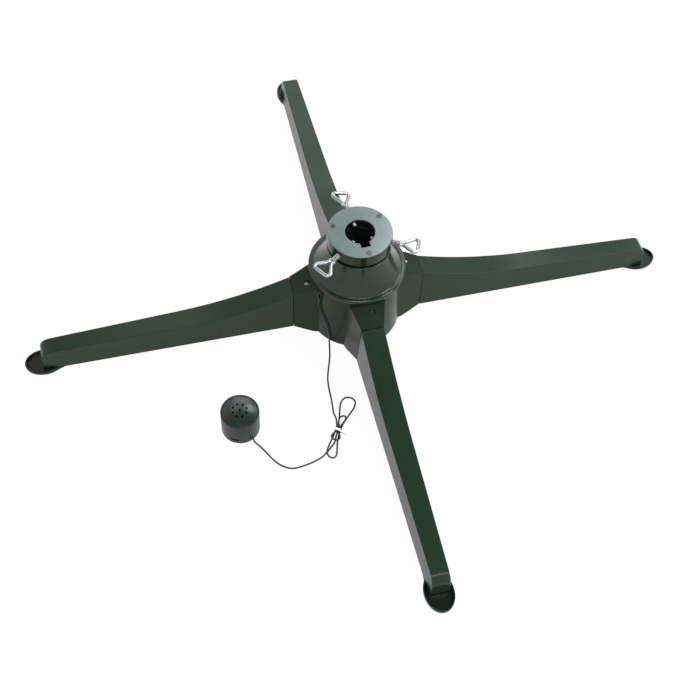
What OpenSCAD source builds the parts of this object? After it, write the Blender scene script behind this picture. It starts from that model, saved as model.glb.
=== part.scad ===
// Motor-driven stand for an artificial tree: four bolted legs round a hub,
// a turning head with three clamp screws, and a small sound pod on a tied cord.

/* [Hub] */
// Radius of the drum at its top edge
drum_top_r = 52.8; // [52.4:0.1:53.6]
// Radius of the drum at its bottom edge
drum_bottom_r = 55.5; // [55:0.1:56]
// Height of the drum's bottom edge above the floor
drum_bottom_z = 2.5; // [2.5:0.1:3.2]
// Height of the drum's top edge, where the bell sits
drum_top_z = 93; // [91:0.5:95]
// Thickness of the moulded walls
wall = 2.5; // [2.2:0.1:2.8]
// Height of the deck that carries the bearing
deck_z = 61; // [59:0.5:62]
// Thickness of the deck
deck_t = 3; // [2.5:0.1:3.5]
// Thickness of the base cover
cover_t = 2.5; // [2:0.1:3]

/* [Bell] */
// Height of the bell's flat top
bell_top_z = 131; // [128:0.5:134]
// Radius of the bell at its shoulder
shoulder_r = 37; // [35:0.5:39]
// Inset of the bell's wall from the drum's top edge, where it meets the rolled rim
bell_inset = 1.8; // [1.4:0.1:2.2]
// Radius of the hollow curve of the bell's wall
bell_curve_r = 89; // [80:1:110]
// Radius of the rolled rim's round
rim_bead_r = 3; // [2.6:0.1:3.2]

/* [Legs] */
// Distance from the centre to the middle of each foot
foot_r = 375; // [330:5:420]
// Distance from the centre to the joint of leg and hub
joint_r = 78.35; // [77:0.05:80]
// Half the width of the leg's ridge at the joint
ridge_half = 13.5; // [12.5:0.1:14.5]
// Radius of the hollow curve of the leg's ridge
ridge_curve_r = 430; // [400:5:480]
// Distance from the centre to the end of the ridge's curve
curve_end_r = 215; // [205:5:225]
// Drop from the drum's top edge to the leg's ridge at the joint
joint_drop = 21.55; // [20:0.05:23]
// Height of the leg's underside at the joint
leg_low_z = 11; // [9:0.5:13]
// Radius of the rounded corner at the leg's tip
tip_corner_r = 13; // [8:0.5:15]

/* [Feet] */
// Half the length of the oval foot dish
dish_half_l = 22.8; // [21:0.1:24]
// Half the width of the oval foot dish
dish_half_w = 16.6; // [15:0.1:17]
// Height of the dish's underside above the floor
dish_low_z = 1; // [0.8:0.1:1.4]
// Thickness of the dish's floor
dish_floor_t = 2.5; // [2:0.1:3]
// Height of the dish's rim above the floor
dish_rim_z = 6.5; // [6:0.1:8]
// Width of the dish's rim
dish_rim_w = 2.6; // [2:0.1:2.8]
// Radius of the rubber pad under each foot
pad_r = 8; // [6:0.5:10]
// Thickness of the rubber pad
pad_t = 2; // [1.8:0.1:2.4]

/* [Head] */
// Radius of the hole that takes the tree's pole
pole_r = 17; // [15:0.1:17.4]
// Radius of the socket tube
tube_r = 20; // [19.5:0.1:20.5]
// Wall of the socket tube
tube_wall = 2; // [1.8:0.1:2.2]
// Radius of the top plate
plate_r = 37; // [36.8:0.1:38]
// Thickness of the top plate
plate_t = 2; // [1.5:0.1:2.5]
// Radius of the collar under the plate
collar_r = 37.2; // [36.8:0.1:38]
// Height of the collar
collar_h = 14; // [13.5:0.1:15]
// Open gap between the bell and the collar
head_gap = 6; // [4:0.5:8]
// Width of the keyway in the hole's edge
key_w = 10.7; // [8:0.1:12]
// Distance from the centre to the keyway's end
key_r = 22.7; // [21.5:0.1:24]
// Length of the liner inside the socket tube
sleeve_l = 116.8; // [100:0.1:118]

/* [Clamp screws] */
// Radius of the clamp screw's shank
clamp_r = 3; // [2.5:0.1:3.2]
// Distance from the centre to the screw's tip
clamp_tip_r = 14.3; // [13:0.1:16.5]
// Distance from the centre to the end of the round shank
clamp_shank_r = 46.5; // [45:0.5:47]
// Distance from the centre to the loop's rounded apex
loop_apex_r = 46.8; // [46:0.1:48]
// Distance from the centre to the loop's outer side
loop_base_r = 67; // [64:0.5:72]
// Half the width of the loop's outer side between its sharp corners
loop_half_w = 14.2; // [12:0.1:16]
// Radius of the loop's rounded corners
loop_corner_r = 4; // [3.5:0.1:5]
// Radius of the loop's wire
loop_wire_r = 2.1; // [1.6:0.1:2.4]

/* [Bearing and drive] */
// Radius of the circle through the balls' centres
ball_circle_r = 26; // [25.8:0.1:26.2]
// Radius of a ball
ball_r = 2.5; // [2.2:0.1:2.6]
// Thickness of each race
race_t = 2; // [1.8:0.1:2.4]
// Number of balls
ball_count = 12; // [8:1:14]
// Tooth size of the gears
gear_module = 1; // [1]
// Teeth on the ring gear
ring_teeth = 56; // [56]
// Teeth on the motor's pinion
pinion_teeth = 18; // [18]
// Width of the ring gear's teeth
gear_w = 7; // [6:0.5:8]
// Radius of the gearbox and its motor
motor_r = 12; // [11:0.1:12.4]
// Length of the gearbox
gearbox_l = 22; // [18:0.5:24]
// Length of the motor can
can_l = 27; // [24:0.5:28]
// Radius of the motor's output shaft
shaft_r = 2.5; // [2:0.1:3]

/* [Sound pod] */
// Distance of the pod's middle from the hub, to the left
pod_x = -166.3; // [-168:0.1:-164]
// Distance of the pod's middle from the hub, to the front
pod_y = -132.9; // [-135:0.1:-131]
// Radius of the pod
pod_r = 22; // [21.9:0.1:22.4]
// Height of the pod's rim
pod_h = 36; // [34:0.5:40]
// Rise of the pod's domed cap above its edge
dome_h = 3.2; // [2:0.1:4]
// Radius of the ring of sound holes
sound_ring_r = 8.2; // [7:0.1:9]
// Radius of each sound hole
sound_hole_r = 1.4; // [1:0.05:1.6]
// Sound holes in the ring
sound_holes = 8; // [6:1:10]

/* [Cord] */
// Thickness of the cord
cord_d = 2; // [1.8:0.1:2]

/* [Fits] */
// Gap between a turning piece and its bush
run_gap = 0.05; // [0.03:0.01:0.08]
// Gap between a piece and the seat it is pressed in
seat_gap = 0.05; // [0.03:0.01:0.08]
// Gap round a sliding knob, tenon or nut
slip_gap = 0.2; // [0.15:0.01:0.3]
// Gap round a screw where it passes through
pass_gap = 0.2; // [0.15:0.01:0.3]
// Gap between leg and hub at their joint
joint_gap = 0.3; // [0.2:0.05:0.5]

/* [Screws] */
// Radius of the small screws' shanks
screw_r = 1.5; // [1.3:0.05:1.6]
// Radius of the small screws' heads
screw_head_r = 2.8; // [2.6:0.1:3]
// Height of the small screws' heads
screw_head_h = 1.8; // [1.6:0.1:2]

/* [Hidden] */
$fn = 64;

quarter = 90;
leg_angles = [0, quarter, 2 * quarter, 3 * quarter];
clamp_angles = [96, -24, 216];
clamp_rolls = [20, -8.5, -2];
motor_angle = 135;
jack_angle = 45;
cord_angle = -154.5;
key_angle = -86;
plate_screw_angle = -86.5;
bell_screw_angle = 70;
cover_screw_angle = 22.5;

// Overrun of cuts, and a block larger than the object
over = 1;
block = 2 * foot_r;

// Joined solids sink this far into each other
bond = 0.6;

screw_pilot_r = screw_r + seat_gap;
screw_pass_r = screw_r + pass_gap;
cross_w = 0.7;
cross_deep = 0.8;

// Points on an arc about c from angle a to angle b
function arc(c, r, a, b, n) =
    [for (i = [0:n]) c + r * [cos(a + (b - a) * i / n), sin(a + (b - a) * i / n)]];
// Centre of an arc of radius r through p and q, on the right hand of the way from p to q
function arc_centre(p, q, r) = let (d = q - p, l = norm(d), n = [-d[1], d[0]] / l)
    (p + q) / 2 + sqrt(r * r - l * l / 4) * n;
function angle_of(v) = atan2(v[1], v[0]);
function turned(v) = angle_of(v) < 0 ? angle_of(v) + 360 : angle_of(v);
function mix(a, b, t) = a + (b - a) * t;
function ease(t) = let (c = min(1, max(0, t))) c * c * (3 - 2 * c);
function unit(v) = v / norm(v);
function polar(r, a, z = 0) = [r * cos(a), r * sin(a), z];
function reversed(list) = [for (i = [len(list) - 1:-1:0]) list[i]];

// Pan-head screw: head above z = 0, shank below
module screw(head_r, head_h, shank_r, length) {
    difference() {
        union() {
            cylinder(r = head_r, h = head_h);
            translate([0, 0, -length]) cylinder(r = shank_r, h = length + bond);
        }
        for (a = [0, 90]) rotate([0, 0, a])
            translate([-head_r * 0.6, -cross_w / 2, head_h - cross_deep])
                cube([head_r * 1.2, cross_w, head_h]);
    }
}

module ring(outer_r, inner_r, h) {
    difference() {
        cylinder(r = outer_r, h = h);
        translate([0, 0, -over]) cylinder(r = inner_r, h = h + 2 * over);
    }
}

// Children set on a radial line, their z axis pointing outwards
module outward(angle, r, z) {
    rotate([0, 0, angle]) translate([r, 0, z]) rotate([0, 90, 0]) children();
}

// Heights of the stack on the deck, from the deck upwards
deck_top = deck_z + deck_t;
groove_deep = 0.5;
ball_z = deck_top + race_t - groove_deep + ball_r + run_gap;
upper_race_z = ball_z + ball_r + run_gap - groove_deep;
gear_z = upper_race_z + race_t;
tooth_z = gear_z + 0.4 * gear_module;
gear_hub_z = gear_z + gear_w + 11 * gear_module;
race_half_w = 4.25;
race_in_r = ball_circle_r - race_half_w + 0.25 * gear_module;
race_out_r = ball_circle_r + race_half_w;

// Heights below the deck
cover_top = drum_bottom_z + cover_t;
pivot_h = 8;
spindle_r = 5;
spindle_clear = 0.5;
foot_flange_t = 2;
foot_flange_z = cover_top + pivot_h + 1.5 * spindle_clear;
tube_z = foot_flange_z + foot_flange_t;
foot_plug_h = 6;

// Heights of the head
collar_z = bell_top_z + head_gap;
plate_z = collar_z + collar_h;
plate_top = plate_z + plate_t;
clamp_z = collar_z + collar_h / 2;

// Ridge line of the legs: a hollow arc, then a straight run to the tip
tip_slope_share = 0.045;
tip_slope = atan(tip_slope_share);
joint_z = drum_top_z - joint_drop;
joint_slope = asin((curve_end_r - joint_r) / ridge_curve_r + sin(tip_slope));
ridge_c = [curve_end_r + ridge_curve_r * sin(tip_slope), joint_z + ridge_curve_r * cos(joint_slope)];
curve_end_z = ridge_c[1] - ridge_curve_r * cos(tip_slope);
function straight_z(r) = curve_end_z - tip_slope_share * (r - curve_end_r);

// Side planes: half width lost per unit of distance and of height
leg_flare_share = 0.01737;
stub_flare_share = 0.276;
draft_share = 0.0461;

module flank(c, flare) {
    turn = -atan(flare);
    lean = atan(draft_share * cos(turn));
    translate([0, c, 0]) rotate([lean, 0, turn])
        translate([-block, -block, -block]) cube([2 * block, block, 2 * block]);
}

// Children cut to the drafted sides of a leg or stub, drawn in by inset
module between_flanks(flare, inset) {
    c = ridge_half + flare * joint_r + draft_share * joint_z
        - inset * sqrt(1 + flare * flare + draft_share * draft_share);
    intersection() {
        children();
        flank(c, flare);
        mirror([0, 1, 0]) flank(c, flare);
    }
}

module side_profile(points) {
    rotate([90, 0, 0]) translate([0, 0, -drum_bottom_r]) linear_extrude(2 * drum_bottom_r) polygon(points);
}

/* Drum and stubs */
function drum_r(z) = mix(drum_bottom_r, drum_top_r, (z - drum_bottom_z) / (drum_top_z - drum_bottom_z));
stub_in_r = drum_top_r - 3 * wall;
stub_low_r = drum_bottom_r + 0.2 * wall;
socket_in_r = drum_bottom_r + 0.6 * wall;
function stub_top_z(r) = joint_z + tan(joint_slope) * (joint_r - r);
function stub_low_z(r) = mix(drum_bottom_z, leg_low_z, (r - stub_low_r) / (joint_r - stub_low_r));
ceiling_drop = wall / cos(joint_slope);
floor_rise = 1.1 * wall;

leg_screw_head_r = 2.9;
leg_screw_side = 4;
leg_screw_in_r = joint_r - 17.85;
leg_screw_well_r = 3.5;
leg_screw_seat_z = stub_top_z(leg_screw_in_r) - 4.1;
leg_screw_boss_r = 5.5;
leg_screw_boss_z = leg_screw_seat_z - wall;
leg_screw_l = 20;

pillar_ring_r = drum_top_r - 6.8;
pillar_r = 4;
pillar_rib_w = 3;
pillar_seat_z = drum_top_z - 5.2 * wall;
pillar_well_r = screw_head_r + 1.5 * pass_gap;

cover_boss_ring_r = drum_bottom_r - 7.5;
cover_boss_r = 3.5;
cover_boss_l = 20;
cover_gap = 0.1;
cover_screw_l = 14;

race_lip_w = 1.5;
race_lip_h = 1;

// Pitch radii, and the motor's place at their sum
gear_pitch_r = gear_module * ring_teeth / 2;
pinion_pitch_r = gear_module * pinion_teeth / 2;
motor_ring_r = gear_pitch_r + pinion_pitch_r;
motor_screw_side = 8.5;
shaft_hole_r = shaft_r + 1.5;

grommet_r = cord_d;
grommet_flange_r = 1.75 * cord_d;
grommet_flange_t = 1;
cord_exit_z = drum_top_z - 9.8;
lead_hole_r = 2;
lead_hole_ring_r = 45.6;

jack_z = 17;
jack_nose_r = 4.4;

module stub_outer() {
    between_flanks(stub_flare_share, 0) side_profile([
        [stub_in_r, drum_bottom_z], [stub_low_r, drum_bottom_z], [joint_r, leg_low_z],
        [joint_r, joint_z], [stub_in_r, stub_top_z(stub_in_r)]]);
}

// Socket outline, drawn in from the stub's walls by a further gap
module socket_space(gap, out_r, in_r, top_z) {
    between_flanks(stub_flare_share, wall + gap) side_profile([
        [in_r, stub_low_z(in_r) + floor_rise + gap],
        [out_r, stub_low_z(out_r) + floor_rise + gap],
        [out_r, min(top_z, stub_top_z(out_r) - ceiling_drop - gap)],
        [max(in_r, joint_r - (top_z + ceiling_drop + gap - joint_z) / tan(joint_slope)),
            min(top_z, stub_top_z(in_r) - ceiling_drop - gap)],
        [in_r, min(top_z, stub_top_z(in_r) - ceiling_drop - gap)]]);
}

module leg_screw_place() {
    translate([leg_screw_in_r, leg_screw_side, leg_screw_seat_z]) children();
}

module stub_hollow() {
    difference() {
        socket_space(0, joint_r + over, socket_in_r, stub_top_z(socket_in_r));
        translate([leg_screw_in_r, leg_screw_side, leg_screw_boss_z])
            cylinder(r = leg_screw_boss_r, h = block);
    }
    leg_screw_place() cylinder(r = leg_screw_well_r, h = block);
    leg_screw_place() translate([0, 0, -2 * wall]) cylinder(r = screw_pass_r, h = 3 * wall);
}

module drum_inside() {
    low = drum_bottom_z - over;
    high = drum_top_z + over;
    rotate_extrude($fn = 128)
        polygon([[0, low], [drum_r(low) - wall, low], [drum_r(high) - wall, high], [0, high]]);
}

module hub_drum() color([0.20, 0.24, 0.21]) difference() {
    union() {
        difference() {
            union() {
                rotate_extrude($fn = 128) polygon([[0, drum_bottom_z], [drum_bottom_r, drum_bottom_z],
                    [drum_top_r, drum_top_z], [0, drum_top_z]]);
                for (a = leg_angles) rotate([0, 0, a]) stub_outer();
            }
            drum_inside();
        }
        translate([0, 0, deck_z]) cylinder(r = drum_r(deck_z) - wall / 2, h = deck_t);
        translate([0, 0, deck_top - bond])
            ring(race_out_r + seat_gap + race_lip_w, race_out_r + seat_gap, race_lip_h + bond);
        for (i = [0:2]) rotate([0, 0, bell_screw_angle + 120 * i]) {
            translate([pillar_ring_r, 0, deck_z]) cylinder(r = pillar_r, h = drum_top_z - deck_z);
            translate([pillar_ring_r, -pillar_rib_w / 2, deck_z])
                cube([drum_top_r - wall / 2 - pillar_ring_r, pillar_rib_w, drum_top_z - deck_z]);
        }
        for (a = leg_angles) rotate([0, 0, cover_screw_angle + a]) {
            translate([cover_boss_ring_r, 0, cover_top + cover_gap])
                cylinder(r = cover_boss_r, h = cover_boss_l);
            translate([cover_boss_ring_r, -pillar_rib_w / 2, cover_top + cover_gap])
                cube([drum_bottom_r - wall / 2 - cover_boss_ring_r, pillar_rib_w, cover_boss_l]);
        }
    }
    for (a = leg_angles) rotate([0, 0, a]) stub_hollow();
    translate([0, 0, deck_z - over]) cylinder(r = tube_r + 0.75 * cord_d, h = deck_t + 2 * over);
    for (i = [0:2]) rotate([0, 0, bell_screw_angle + 120 * i]) translate([pillar_ring_r, 0, 0]) {
        translate([0, 0, deck_z - over]) cylinder(r = pillar_well_r, h = pillar_seat_z - deck_z + over);
        translate([0, 0, deck_z]) cylinder(r = screw_pass_r, h = drum_top_z - deck_z + over);
    }
    for (a = leg_angles) rotate([0, 0, cover_screw_angle + a])
        translate([cover_boss_ring_r, 0, cover_top - over])
            cylinder(r = screw_pilot_r, h = cover_screw_l + over);
    rotate([0, 0, motor_angle]) {
        translate([motor_ring_r, 0, deck_z - over]) cylinder(r = shaft_hole_r, h = deck_t + 2 * over);
        for (s = [-1, 1]) translate([motor_ring_r, s * motor_screw_side, deck_z - over])
            cylinder(r = screw_pass_r, h = deck_t + 2 * over);
    }
    rotate([0, 0, cord_angle]) translate([lead_hole_ring_r, 0, deck_z - over])
        cylinder(r = lead_hole_r, h = deck_t + 2 * over);
    outward(cord_angle, drum_top_r - 2 * wall, cord_exit_z) cylinder(r = grommet_r, h = 4 * wall);
    outward(jack_angle, drum_bottom_r - 3 * wall, jack_z)
        cylinder(r = jack_nose_r + seat_gap, h = 4 * wall);
}

/* Base cover */
cover_r = drum_bottom_r - wall - 0.16 * wall;
pivot_bush_r = spindle_r + wall;
pivot_boss_r = pivot_bush_r + 1.2 * wall;
board_z = cover_top + 5;
board_t = 1.6;
board_in_r = 24;
board_l = 24;
board_w = 27;
board_post_r = 2;
board_post_in = 3;

module board_places() {
    for (u = [board_in_r + board_post_in, board_in_r + board_l - board_post_in])
        for (s = [-1, 1]) rotate([0, 0, jack_angle])
            translate([u, s * (board_w / 2 - board_post_in), 0]) children();
}

module base_cover() color([0.14, 0.16, 0.15]) difference() {
    union() {
        translate([0, 0, drum_bottom_z]) cylinder(r = cover_r, h = cover_t, $fn = 128);
        translate([0, 0, drum_bottom_z]) cylinder(r = pivot_boss_r, h = cover_t + pivot_h);
        board_places() translate([0, 0, drum_bottom_z])
            cylinder(r = board_post_r, h = board_z - drum_bottom_z);
        for (a = leg_angles) rotate([0, 0, a + jack_angle])
            translate([pivot_boss_r - bond, -pillar_rib_w / 2, drum_bottom_z])
                cube([cover_r - pivot_boss_r - 2 * wall, pillar_rib_w, 1.6 * cover_t]);
    }
    translate([0, 0, cover_top]) cylinder(r = pivot_bush_r + seat_gap, h = pivot_h + over);
    for (a = leg_angles) rotate([0, 0, cover_screw_angle + a])
        translate([cover_boss_ring_r, 0, drum_bottom_z - over])
            cylinder(r = screw_pass_r, h = cover_t + 2 * over);
}

module base_screws() color([0.62, 0.63, 0.64]) for (a = leg_angles) rotate([0, 0, cover_screw_angle + a])
    translate([cover_boss_ring_r, 0, drum_bottom_z]) rotate([180, 0, 0])
        screw(screw_head_r, screw_head_h, screw_r, cover_screw_l);

module pivot_bush() color([0.85, 0.83, 0.76]) translate([0, 0, cover_top])
    ring(pivot_bush_r, spindle_r + run_gap, pivot_h);

/* Legs */
tip_r = foot_r + 1.4;
tip_lean = 0.8;
dish_in_r = foot_r - dish_half_l + dish_rim_w;
leg_foot_z = dish_low_z + dish_floor_t / 2;
leg_wing_z = dish_low_z + dish_floor_t + 0.5 * wall;
rib_shares = [0.18, 0.38, 0.58, 0.78];
rib_t = 2;
rib_low_z = leg_low_z + 5;
tenon_in_r = socket_in_r + slip_gap;

// Ridge and rounded tip of the leg, offset inwards by inset
function ridge_points(from_r, inset) = let (
        r = ridge_curve_r + inset,
        start = asin((ridge_c[0] - from_r) / r),
        corner_r = tip_corner_r - inset,
        corner_x = tip_r - tip_corner_r,
        corner_z = straight_z(corner_x) - tip_corner_r / cos(tip_slope))
    concat(arc(ridge_c, r, 3 * quarter - start, 3 * quarter - tip_slope, 24),
        arc([corner_x, corner_z], corner_r, quarter - tip_slope, 0, 8));

module leg_shell_outer() {
    between_flanks(leg_flare_share, 0) side_profile(concat(ridge_points(joint_r + joint_gap, 0), [
        [tip_r + tip_lean, leg_foot_z], [dish_in_r, leg_foot_z],
        [dish_in_r - dish_rim_w, leg_wing_z], [joint_r + joint_gap, leg_low_z]]));
}

module leg_channel() {
    start = joint_r + joint_gap + wall;
    difference() {
        between_flanks(leg_flare_share, wall) side_profile(concat(ridge_points(start, wall), [
            [tip_r + tip_lean - wall, leg_foot_z - over], [start, leg_foot_z - over]]));
        for (share = rib_shares)
            translate([mix(joint_r, foot_r, share), -drum_bottom_r, rib_low_z])
                cube([rib_t, 2 * drum_bottom_r, block]);
    }
}

function oval(half_l, half_w, n) =
    [for (i = [0:n - 1]) [foot_r + half_l * cos(360 * i / n), half_w * sin(360 * i / n)]];

module foot_dish() {
    difference() {
        translate([0, 0, dish_low_z]) linear_extrude(dish_rim_z - dish_low_z)
            polygon(oval(dish_half_l, dish_half_w, 48));
        translate([0, 0, dish_low_z + dish_floor_t]) linear_extrude(dish_rim_z)
            polygon(oval(dish_half_l - dish_rim_w, dish_half_w - dish_rim_w, 48));
        translate([foot_r, 0, 0]) cylinder(r = pad_r + seat_gap, h = pad_t);
    }
}

module tenon() {
    top = leg_screw_boss_z - slip_gap;
    out_r = joint_r + joint_gap + wall / 2;
    difference() {
        union() {
            difference() {
                socket_space(slip_gap, out_r, tenon_in_r, top);
                socket_space(slip_gap + wall, out_r + wall, tenon_in_r + wall, top - wall);
            }
            intersection() {
                socket_space(slip_gap, out_r, tenon_in_r, top);
                translate([leg_screw_in_r, leg_screw_side, leg_screw_boss_z - leg_screw_l - wall])
                    cylinder(r = leg_screw_boss_r - wall / 2, h = leg_screw_l + wall);
            }
        }
        leg_screw_place() translate([0, 0, -leg_screw_l - wall / 2])
            cylinder(r = screw_pilot_r, h = leg_screw_l + wall);
    }
}

module leg() {
    difference() {
        union() {
            leg_shell_outer();
        }
        leg_channel();
    }
    foot_dish();
    tenon();
}

module leg_east() color([0.19, 0.26, 0.22]) leg();
module leg_north() color([0.19, 0.26, 0.22]) rotate([0, 0, 90]) leg();
module leg_west() color([0.19, 0.26, 0.22]) rotate([0, 0, 180]) leg();
module leg_south() color([0.19, 0.26, 0.22]) rotate([0, 0, 270]) leg();

module leg_screws() color([0.72, 0.73, 0.73]) for (a = leg_angles) rotate([0, 0, a])
    leg_screw_place() screw(leg_screw_head_r, screw_head_h, screw_r, leg_screw_l);

module foot_pads() color([0.10, 0.10, 0.10]) for (a = leg_angles) rotate([0, 0, a])
    translate([foot_r, 0, 0]) cylinder(r = pad_r, h = pad_t);

/* Bell */
bell_t = wall;
neck_bush_t = wall - run_gap;
neck_bush_r = tube_r + run_gap + neck_bush_t;
neck_in_r = neck_bush_r + seat_gap;
neck_l = 19;
shoulder_round = 1.5;
bell_foot_r = drum_top_r - bell_inset;
bell_foot_z = drum_top_z + 1.35 * rim_bead_r;
bead_c = [bell_foot_r + rim_bead_r, drum_top_z - 0.15 * rim_bead_r];
skirt_in_r = drum_top_r + 0.14 * wall;
bell_from = [shoulder_r, bell_top_z - shoulder_round];
bell_to = [bell_foot_r, bell_foot_z];
bell_c = arc_centre(bell_from, bell_to, bell_curve_r);
bell_boss_r = 3.6;
bell_boss_h = 6;
bell_screw_l = 7 * wall;

function bell_ceiling() = bell_top_z - bell_t;
function fillet(p, q, r, n) =
    [for (i = [0:n]) let (t = i / n) (1 - t) * (1 - t) * p + 2 * t * (1 - t) * q + t * t * r];

module bell_shell() {
    from_a = turned(bell_from - bell_c);
    to_a = turned(bell_to - bell_c);
    inner_r = bell_curve_r + bell_t;
    top_a = 180 + asin((bell_c[1] - bell_ceiling()) / inner_r);
    bead_top = bead_c + rim_bead_r * [cos(100), sin(100)];
    knee = [bell_foot_r + 0.4 * rim_bead_r, bead_top[1] - 0.08 * rim_bead_r];
    rotate_extrude($fn = 128) polygon(concat(
        [[neck_in_r, bell_top_z]],
        arc([shoulder_r - shoulder_round, bell_top_z - shoulder_round], shoulder_round, 90, 10, 4),
        arc(bell_c, bell_curve_r, from_a, to_a, 14),
        fillet(bell_to, knee, bead_top, 4),
        arc(bead_c, rim_bead_r, 90, -90, 12),
        [[skirt_in_r, bead_c[1] - rim_bead_r], [skirt_in_r, drum_top_z],
            [drum_top_r - 1.9 * wall, drum_top_z]],
        arc(bell_c, inner_r, to_a - 0.6, top_a, 14),
        [[neck_in_r + bell_t, bell_ceiling()], [neck_in_r + bell_t, bell_top_z - neck_l],
            [neck_in_r, bell_top_z - neck_l]]));
}

module bell() color([0.22, 0.26, 0.23]) difference() {
    union() {
        bell_shell();
        for (i = [0:2]) rotate([0, 0, bell_screw_angle + 120 * i])
            translate([pillar_ring_r, 0, drum_top_z + bond])
                cylinder(r = bell_boss_r, h = bell_boss_h - bond);
    }
    for (i = [0:2]) rotate([0, 0, bell_screw_angle + 120 * i])
        translate([pillar_ring_r, 0, drum_top_z - over])
            cylinder(r = screw_pilot_r, h = bell_boss_h + over - 0.4 * wall);
}

module bell_screws() color([0.62, 0.63, 0.64]) for (i = [0:2]) rotate([0, 0, bell_screw_angle + 120 * i])
    translate([pillar_ring_r, 0, pillar_seat_z]) rotate([180, 0, 0])
        screw(screw_head_r, screw_head_h, screw_r, bell_screw_l);

module neck_bush() color([0.85, 0.83, 0.76]) {
    flange_t = 1.2;
    translate([0, 0, bell_top_z - neck_l]) ring(neck_bush_r, tube_r + run_gap, neck_l + flange_t);
    translate([0, 0, bell_top_z]) ring(neck_in_r + wall, tube_r + run_gap, flange_t);
}

/* Bearing */
module race_groove() {
    translate([0, 0, ball_z]) rotate_extrude() translate([ball_circle_r, 0]) circle(r = ball_r + run_gap);
}

module lower_race() color([0.70, 0.71, 0.72]) difference() {
    translate([0, 0, deck_top]) ring(race_out_r, race_in_r, race_t);
    race_groove();
}

module upper_race() color([0.70, 0.71, 0.72]) difference() {
    translate([0, 0, upper_race_z]) ring(race_out_r, race_in_r, race_t);
    race_groove();
}

cage_h = 0.84 * ball_r;
cage_half_w = 1.28 * ball_r;

module ball_cage() color([0.80, 0.66, 0.32]) difference() {
    translate([0, 0, ball_z - cage_h / 2])
        ring(ball_circle_r + cage_half_w, ball_circle_r - cage_half_w, cage_h);
    for (i = [1:ball_count]) rotate([0, 0, 360 * i / ball_count])
        translate([ball_circle_r, 0, ball_z - cage_h]) cylinder(r = ball_r + 2 * run_gap, h = 2 * cage_h);
}

module bearing_balls() color([0.80, 0.81, 0.82]) for (i = [1:ball_count])
    rotate([0, 0, 360 * i / ball_count])
    translate([ball_circle_r, 0, ball_z]) sphere(r = ball_r);

/* Gears */
pressure_angle = 20;
thin_share = 0.2;

// Half angle of a tooth at radius r, for an involute of the given pitch radius
function involute(base_r, r) = r <= base_r ? 0 : let (a = acos(base_r / r)) tan(a) * 180 / PI - a;
function tooth_half(teeth, pitch_r, r) = let (base_r = pitch_r * cos(pressure_angle))
    90 / teeth * (1 - thin_share) + involute(base_r, pitch_r) - involute(base_r, r);
function gear_points(teeth, pitch_r) = let (
        root_r = pitch_r - 1.25 * gear_module,
        tip_r = pitch_r + gear_module,
        steps = [root_r, pitch_r - 0.4 * gear_module, pitch_r + 0.3 * gear_module, tip_r])
    [for (i = [0:teeth - 1]) for (k = [0:7]) let (
        r = k < 4 ? steps[k] : steps[7 - k],
        a = 360 * i / teeth + (k < 4 ? -1 : 1) * tooth_half(teeth, pitch_r, r))
        r * [cos(a), sin(a)]];

grub_z = gear_hub_z - 5.5 * gear_module;
grub_r = 2;
gear_hub_r = tube_r + 2 * wall;
grub_angle = 30;

module ring_gear() color([0.88, 0.87, 0.80]) difference() {
    union() {
        translate([0, 0, tooth_z]) linear_extrude(gear_w) polygon(gear_points(ring_teeth, gear_pitch_r));
        translate([0, 0, gear_z]) cylinder(r = gear_hub_r, h = gear_hub_z - gear_z);
    }
    translate([0, 0, gear_z - over]) cylinder(r = tube_r + seat_gap, h = gear_hub_z - gear_z + 2 * over);
    for (i = [0:2]) outward(grub_angle + 120 * i, tube_r - wall, grub_z)
        cylinder(r = grub_r + seat_gap, h = 4 * wall);
}

module gear_grub_screws() color([0.35, 0.36, 0.37]) for (i = [0:2])
    outward(grub_angle + 120 * i, tube_r + seat_gap, grub_z) difference() {
        cylinder(r = grub_r, h = gear_hub_r - tube_r - 0.1 * wall);
        translate([0, 0, wall]) cylinder(r = grub_r / 2, h = 2 * wall, $fn = 6);
    }

module motor_pinion() color([0.88, 0.87, 0.80]) rotate([0, 0, motor_angle])
    translate([motor_ring_r, 0, tooth_z])
    rotate([0, 0, 180 + 180 / pinion_teeth]) difference() {
        linear_extrude(gear_w) polygon(gear_points(pinion_teeth, pinion_pitch_r));
        translate([0, 0, -over]) cylinder(r = shaft_r + seat_gap, h = gear_w + 2 * over);
    }

/* Motor */
shaft_low_z = deck_z - 8;
shaft_l = tooth_z + gear_w + 0.4 * gear_module - shaft_low_z;
gearbox_z = deck_z - gearbox_l;
can_r = motor_r - 0.3;
can_z = gearbox_z - can_l;
motor_screw_l = 9;

module at_motor() {
    rotate([0, 0, motor_angle]) translate([motor_ring_r, 0, 0]) children();
}

module motor_gearbox() color([0.66, 0.67, 0.68]) at_motor() difference() {
    translate([0, 0, gearbox_z]) cylinder(r = motor_r, h = gearbox_l);
    translate([0, 0, shaft_low_z - shaft_r]) cylinder(r = shaft_r + run_gap, h = block);
    for (s = [-1, 1]) translate([0, s * motor_screw_side, deck_top - motor_screw_l - wall / 2])
        cylinder(r = screw_pilot_r, h = block);
}

module motor_can() color([0.74, 0.75, 0.76]) at_motor() {
    translate([0, 0, can_z]) cylinder(r = can_r, h = can_l);
    translate([0, 0, can_z - wall / 2]) cylinder(r = spindle_r, h = wall);
}

module motor_screws() color([0.62, 0.63, 0.64]) at_motor() for (s = [-1, 1])
    translate([0, s * motor_screw_side, deck_top])
        screw(screw_head_r, screw_head_h, screw_r, motor_screw_l);

module motor_shaft() color([0.78, 0.79, 0.80]) at_motor()
    translate([0, 0, shaft_low_z]) cylinder(r = shaft_r, h = shaft_l);

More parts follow.
